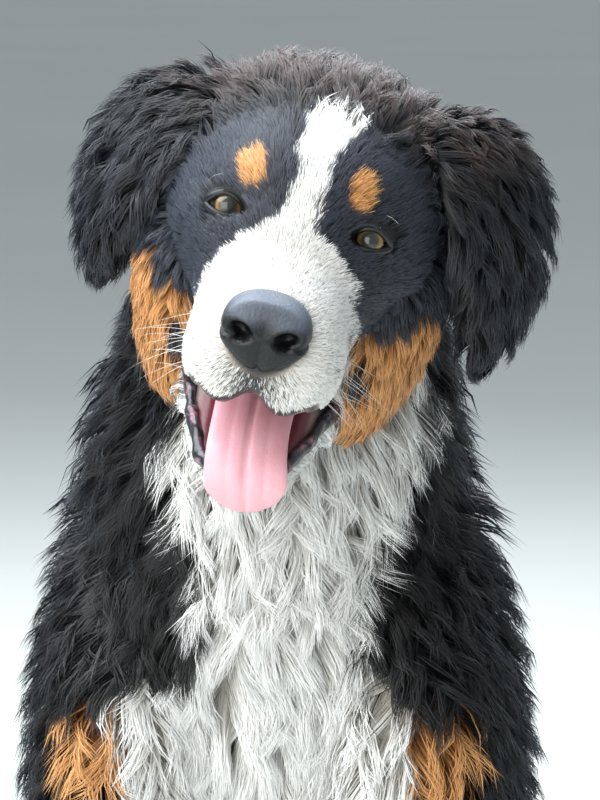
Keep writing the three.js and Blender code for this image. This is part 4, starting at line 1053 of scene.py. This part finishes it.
def noseMaterial():
    # Nose leather: pebbled, slate black and moist, with painted shade darkening the nostrils and slits and a paler
    # painted sky sheen on its upper side
    look = {"Roughness": 0.48, "IOR": 1.42, "Coat_Weight": 0.15, "Coat_Roughness": 0.35}
    material, tree, shader = newMaterial("noseLeather", **look)
    base = mix(tree, noise(tree, 90.0, 3.0), "#08090a", "#101114")
    # over the base: a paler painted sky sheen on the upper side, then painted shade in the nostrils and slits
    for field, colour in (("paintedSkySheen", "#8e97a6"), ("paintedNostrilShade", "#050405")):
        mask = addNode(tree, "Attribute", {"attribute_name": field})
        base = mix(tree, mask.outputs["Fac"], base, colour)
    pebbles = noise(tree, 780.0, 0.0, "TexVoronoi", feature="SMOOTH_F1")
    painted(tree, shader, base, pebbles, 0.6, 0.0005, invert=True)
    return material


nose = makeObject("nose_leather", *looseTube(noseRows, 200, 130, domes=(0.2, 0.3), mould=mouldNose))
nosePoints, noseNormals, _ = arraysOf(nose)
hole, slit = nostrilHole(unplaced(nosePoints, headPlace))
# painted shade: the nostrils and slits are painted darker, as shade in their hollows
addField(nose, "paintedNostrilShade", np.clip(hole * 1.2 + slit * 0.4, 0, 1))
# painted sky sheen: the upward-facing upper side of the pad is painted paler, as if lit by the sky
upperSide = climb((noseNormals @ headPlace[0])[:, 2], 0, 1) * climb(unplaced(nosePoints, headPlace)[:, 2], -27, -16)
addField(nose, "paintedSkySheen", 0.6 * upperSide)
dress(nose, noseMaterial(), "nose")

# Tongue: out over the lip, with its groove and folds
tongueRows = (
    (0, -2, -76, 17, 5, 2.3, 0), (0, -30, -82, 19, 5, 2.3, 0), (1, -54, -89, 19, 4.5, 2.3, 0),
    (3, -70, -98, 19.5, 4.5, 2.3, 0), (6, -77, -110, 20, 4, 2.3, 0), (9, -77, -124, 17, 3, 2.3, 0),
)
tongueFolds = ((0, 1.5), (9.5, 0.7))  # distance from the middle, depth


def mouldTongue(p, centre):  # each fold goes in by depth exp(-(d / 1.6)^2) on the upper side
    out = p - centre
    fromMiddle = np.abs(out[:, 0])
    upper = climb(-out[:, 1] + out[:, 2], -1, 3)
    folds = sum(np.exp(-(((fromMiddle - at) / 1.6) ** 2)) * depth for at, depth in tongueFolds)
    return p - unit(out) * (folds * upper)[:, None]


tongue = makeObject("tongue_flesh", *looseTube(tongueRows, 96, 90, domes=(0.1, 0.2), mould=mouldTongue))
# wet pink muscle with fine papillae
flesh = {
    "Roughness": 0.4, "Subsurface_Weight": 0.15, "Subsurface_Scale": 0.004, "Coat_Weight": 0.2, "Coat_Roughness": 0.3,
}
dress(tongue, mottled("tongueFlesh", ("#e39ba6", "#f6c3ca"), (60.0, 3.0), (1100.0, 2.0, 0.35, 0.0004), **flesh),
      "tongue")

# Lower lips: a ruffled rim of leather from corner to corner round the open mouth
lipSide = ((46, 12, -74), (42, 0, -83), (36, -14, -91), (28, -36, -101), (20, -56, -108), (11, -68, -112))
lipForm = {"middle": (0, -72, -113), "radius": 4.0, "flat": 0.7, "ruffles": ((1.1, 7.0), (0.5, 2.9))}


def ruffle(p, centre):  # swollen and pinched by slow noise of two sizes
    (much, coarse), (little, fine) = lipForm["ruffles"]
    return p + unit(p - centre) * (much * wobble(p, coarse) + little * wobble(p[:, ::-1], fine))[:, None]


def lipMaterial():
    # Lip leather: black, mottled with pink and slate, wet
    material, tree, shader = newMaterial("lipLeather", Roughness=0.28, Coat_Weight=0.4, Coat_Roughness=0.12)
    base = stopped(tree, noise(tree, 170.0, 5.0, Roughness=0.65), (
        (0.0, "#0f0e11"), (0.5, "#1d1b20"), (0.56, "#4a464e"), (0.62, "#80505a"), (0.74, "#b07680"),
    ))
    painted(tree, shader, base, noise(tree, 500.0, 3.0), 0.5, 0.0006)
    return material


lipLine = [(-x, y, z) for x, y, z in lipSide] + [lipForm["middle"]] + list(lipSide[::-1])
lipSection = (lipForm["radius"], lipForm["radius"] * lipForm["flat"], 2, 0)
lipTube = looseTube([(*p, *lipSection) for p in lipLine], 24, 260, (0, 0, 1.0), (0.04, 0.04), ruffle)
dress(makeObject("lower_lip", *lipTube), lipMaterial())

# Whiskers: fine bristles on the lips and over the eyes, thickest at the root
whiskerForm = {
    "back": (-70, -60, -50, -41), "up": (-46, -53, -60, -66), "radius": 0.12, "length": (14, 34), "droop": (2, 9),
    "browLength": (10, 15), "browDroop": (6, 12),
}


def bristles(roots, aims, lengths, droops):
    # p(s) = root + aim L s - droop s^2 up; a three-sided cone whose radius is r (1 - s)^0.6
    steps, around = 8, 3
    s = np.linspace(0, 1, steps)
    turn = np.arange(around) / around * 2 * pi
    r = whiskerForm["radius"] * (1 - s[:-1]) ** 0.6
    pieces = []
    for root, aim, length, droop in zip(roots, aims, lengths, droops):
        line = root + aim * (length * s)[:, None] - np.array([0, 0, 1.0]) * (droop * s**2)[:, None]
        along = unit(np.gradient(line, axis=0))
        first = unit(np.cross(along, [0.3, 0.2, 0.9]))
        second = np.cross(along, first)
        ring = line[:-1, None] + r[:, None, None] * (
            np.cos(turn)[None, :, None] * first[:-1, None] + np.sin(turn)[None, :, None] * second[:-1, None]
        )
        points = np.concatenate([[line[0]], ring.reshape(-1, 3), [line[-1]]])
        pieces.append(outwards(points, ringFaces(steps - 1, around)))
    return joined(pieces)


def makeWhiskers():
    hairs = []  # root, aim, length, droop
    for _, sign in sides:
        hairs += [
            (
                sign * 39, back + dice.normal(0, 1.5), up + dice.normal(0, 1.5),
                sign * (0.8 + dice.normal(0, 0.12)), 0.15 + dice.normal(0, 0.2), -0.35 + dice.normal(0, 0.2),
                dice.uniform(*whiskerForm["length"]), dice.uniform(*whiskerForm["droop"]),
            )
            for back in whiskerForm["back"] for up in whiskerForm["up"]
        ]
        hairs += [
            (
                sign * (32 + 4 * k), -14, 15 + k, sign * (0.5 + 0.2 * k), -0.5, 0.5 + dice.normal(0, 0.1),
                dice.uniform(*whiskerForm["browLength"]), dice.uniform(*whiskerForm["browDroop"]),
            )
            for k in range(2)
        ]
    hairs = np.array(hairs)
    at = nearestIn(skinTree, placed(hairs[:, :3], headPlace))
    aims = unit(hairs[:, 3:6]) @ headPlace[0].T
    return makeObject("whiskers", *bristles(skinPoints[at] - skinNormals[at], aims, hairs[:, 6], hairs[:, 7]))


# Whiskers and claws are horn: smooth, a little uneven in tone
horn = ((300.0, 3.0), (300.0, 3.0, 0.3, 0.0003))
dress(makeWhiskers(), mottled("whiskerHair", ("#e9e4da", "#fffdf8"), *horn, Roughness=0.35))

# Claws: a short curved cone at the front of each toe, as in the part's source
clawRows = ((-5, -1, 2.6, 3), (3, 1.5, 2.3, 2.7), (8, 5, 1.6, 2), (10.5, 9, 0.5, 0.6))  # forward, drop, wide, deep
clawShares = (-0.72, -0.26, 0.26, 0.72)


def clawsOf(paw, sign):
    heel, toes, ahead, sideways = pawAxes(paw, sign)
    pieces = []
    for share in clawShares:
        base = toes + [0, 0, paw["high"] * 0.34] + sideways * share * paw["wide"] + ahead * (8 - 14 * share**2)
        rows = [(*(base + ahead * go - [0, 0, drop]), wide, deep, 2, 0) for go, drop, wide, deep in clawRows]
        pieces.append(looseTube(rows, 16, 20, sideways, place=bodyPlace))
    return pieces


claws = [piece for paw in paws.values() for _, sign in sides for piece in clawsOf(paw, sign)]
dress(makeObject("claws", *joined(claws)), mottled("clawHorn", ("#1a1715", "#4b4440"), *horn, Roughness=0.35))

# Eyes: balls turned to the photographer, iris and pupil as rings round the axis
iris = {"radius": 6.5, "edge": 0.6, "bulge": 0.9}


def makeEyeMaterial():
    # Dog's eye: amber iris with radial fibres, dark limbus, large pupil, under a wet clear cornea
    material, tree, shader = newMaterial("wetEye", Roughness=0.25, IOR=1.38, Coat_Weight=1.0, Coat_Roughness=0.02)
    mask = channels(tree, "iris")[1]
    fibreAt = addNode(tree, "CombineXYZ", {}, {"X": mask.outputs["Green"], "Y": mask.outputs["Blue"]})
    fibres = addNode(tree, "TexNoise", {"Scale": 22.0, "Detail": 3.0}, {"Vector": fibreAt.outputs[0]})
    tone = stopped(tree, mask.outputs["Red"], (  # from the pupil out to the white; 1 is three radii of the iris
        (0.0, "#20241f"), (0.17, "#30332c"), (0.2, "#4d4430"), (0.24, "#86693c"), (0.285, "#90703f"),
        (0.313, "#4f381e"), (0.334, "#0a0807"), (0.38, "#15100e"), (0.46, "#4f423b"), (0.6, "#857870"),
    ))
    strength = ranged(tree, fibres.outputs[0], 0.3, 0.7, 0.75, 1.3)
    painted(tree, shader, addNode(tree, "HueSaturation", {}, {"Color": tone, "Value": strength}).outputs[0])
    return material


def eyeBall(name, sign):
    # radius grows by bulge (1 - (r / iris)^2)^0.8 over the iris; rim is the distance from the axis in iris radii
    around, rings = 64, 48
    fall = np.concatenate([[0], np.repeat(np.linspace(0, pi, rings + 1)[1:-1], around), [pi]])
    turn = np.concatenate([[0], np.tile(np.arange(around) / around * 2 * pi, rings - 1), [0]])
    fromAxis = eye["radius"] * np.sin(fall)
    front = (fall < pi / 2) * np.maximum(0, 1 - (fromAxis / (iris["radius"] + iris["edge"])) ** 2)
    radius = eye["radius"] + iris["bulge"] * front**0.8
    centre = placed(eyeCentre(sign), headPlace)
    gaze = unit(photographer - centre)
    upwards = unit(np.array([0, 0, 1.0]) - gaze * gaze[2])
    ring = np.cos(turn)[:, None] * np.cross(upwards, gaze) + np.sin(turn)[:, None] * upwards
    direction = np.sin(fall)[:, None] * ring + np.cos(fall)[:, None] * gaze
    obj = makeObject(name, *outwards(centre + direction * radius[:, None], ringFaces(rings - 1, around)))
    rim = np.where(fall < pi / 2, fromAxis / iris["radius"], 3.0)
    addField(obj, "iris", np.stack([rim / 3, np.cos(turn) / 2 + 0.5, np.sin(turn) / 2 + 0.5, rim * 0 + 1], -1))
    return obj


# Lid rims: round cords along the opening of the lids
lidForm = {"around": 10, "steps": 96, "grow": 0.5, "off": 0.9, "radius": 1.45, "upper": 0.4, "outer": 0.3}


def lidRim(name, sign):
    # line + radius (cos N + sin B), with N and B square to the closed line of the almond on the ball
    turn = np.arange(lidForm["steps"]) / lidForm["steps"] * 2 * pi
    x, up = almond(sign, turn, lidForm["grow"])
    ahead = np.sqrt(np.maximum(16, (eye["radius"] + lidForm["off"]) ** 2 - x**2 - up**2))
    line = onFace(sign, x, up, ahead)
    radii = lidForm["radius"] + lidForm["upper"] * np.maximum(0, np.sin(turn)) + lidForm["outer"] * np.cos(turn)
    along = unit(np.roll(line, -1, 0) - np.roll(line, 1, 0))
    second = unit(np.cross(along, unit(line - line.mean(0))))
    first = np.cross(second, along)
    around, count = lidForm["around"], len(line)
    spin = (np.arange(around) / around * 2 * pi)[None, :, None]
    points = line[:, None] + radii[:, None, None] * (np.cos(spin) * first[:, None] + np.sin(spin) * second[:, None])
    i, j = np.meshgrid(np.arange(count), np.arange(around), indexing="ij")
    a, b = i * around + j, i * around + (j + 1) % around
    c, d = ((k + around) % (count * around) for k in (a, b))
    faces = np.concatenate([np.stack([a, b, d], -1).reshape(-1, 3), np.stack([a, d, c], -1).reshape(-1, 3)])
    return makeObject(name, points.reshape(-1, 3), faces)


eyeFinish = makeEyeMaterial()
# smooth black skin, wet with tears
lidFinish = mottled("lidLeather", ("#0c0b0d", "#1d1b1e"), (1400.0,), (1400.0, 2.0, 0.3, 0.0002), Roughness=0.3)
for end, sign in sides:
    dress(eyeBall("eye_" + end.lower(), sign), eyeFinish, "eye_" + end.lower())
for end, sign in sides:
    dress(lidRim("lid_rim_" + end.lower(), sign), lidFinish)
print("face ready")


# Floor of matt pale paint, and soft light
def addStage():
    reach = 200000
    corners = np.array([[-reach, -reach, 0], [reach, -reach, 0], [reach, reach, 0], [-reach, reach, 0]], float)
    floor = makeObject("floor", corners, np.array([[0, 1, 2, 3]]), smooth=False)
    floor.data.materials.append(mottled("paleFloor", ("#c9cdc9", "#d3d6d2"), (1.2,), None, Roughness=0.9))


lamps = {  # place and aim in metres, size in metres, power in watts, colour
    "sky": {"at": (-0.9, -0.3, 2.2), "aim": (0, -0.1, 0.5), "size": 2.6, "power": 115, "colour": (0.88, 0.94, 1.0)},
    "front": {"at": (-1.3, -2.7, 0.9), "aim": (0, -0.1, 0.5), "size": 2.2, "power": 48, "colour": (1.0, 0.985, 0.96)},
    "rear": {"at": (0.3, 1.6, 2.0), "aim": (0, 0, 0.55), "size": 1.6, "power": 45, "colour": (0.96, 0.98, 1.0)},
}
room = {"colour": (0.86, 0.93, 1.0, 1), "strength": 0.5}


def addLamps():
    for name, lamp in lamps.items():
        data = bpy.data.lights.new(name, "AREA")
        data.size, data.energy, data.color = lamp["size"], lamp["power"], lamp["colour"]
        obj = bpy.data.objects.new(name, data)
        obj.location = lamp["at"]
        obj.rotation_euler = (Vector(lamp["aim"]) - Vector(lamp["at"])).to_track_quat("-Z", "Y").to_euler()
        bpy.context.scene.collection.objects.link(obj)
    bpy.context.scene.view_settings.view_transform = "Standard"  # plain display colours, as a camera's JPEG
    world = bpy.data.worlds.new("softRoom")
    bpy.context.scene.world = world
    world.use_nodes = True
    backdrop = world.node_tree.nodes["Background"]
    backdrop.inputs["Color"].default_value = room["colour"]
    backdrop.inputs["Strength"].default_value = room["strength"]


addStage()
addLamps()
print("stage set")
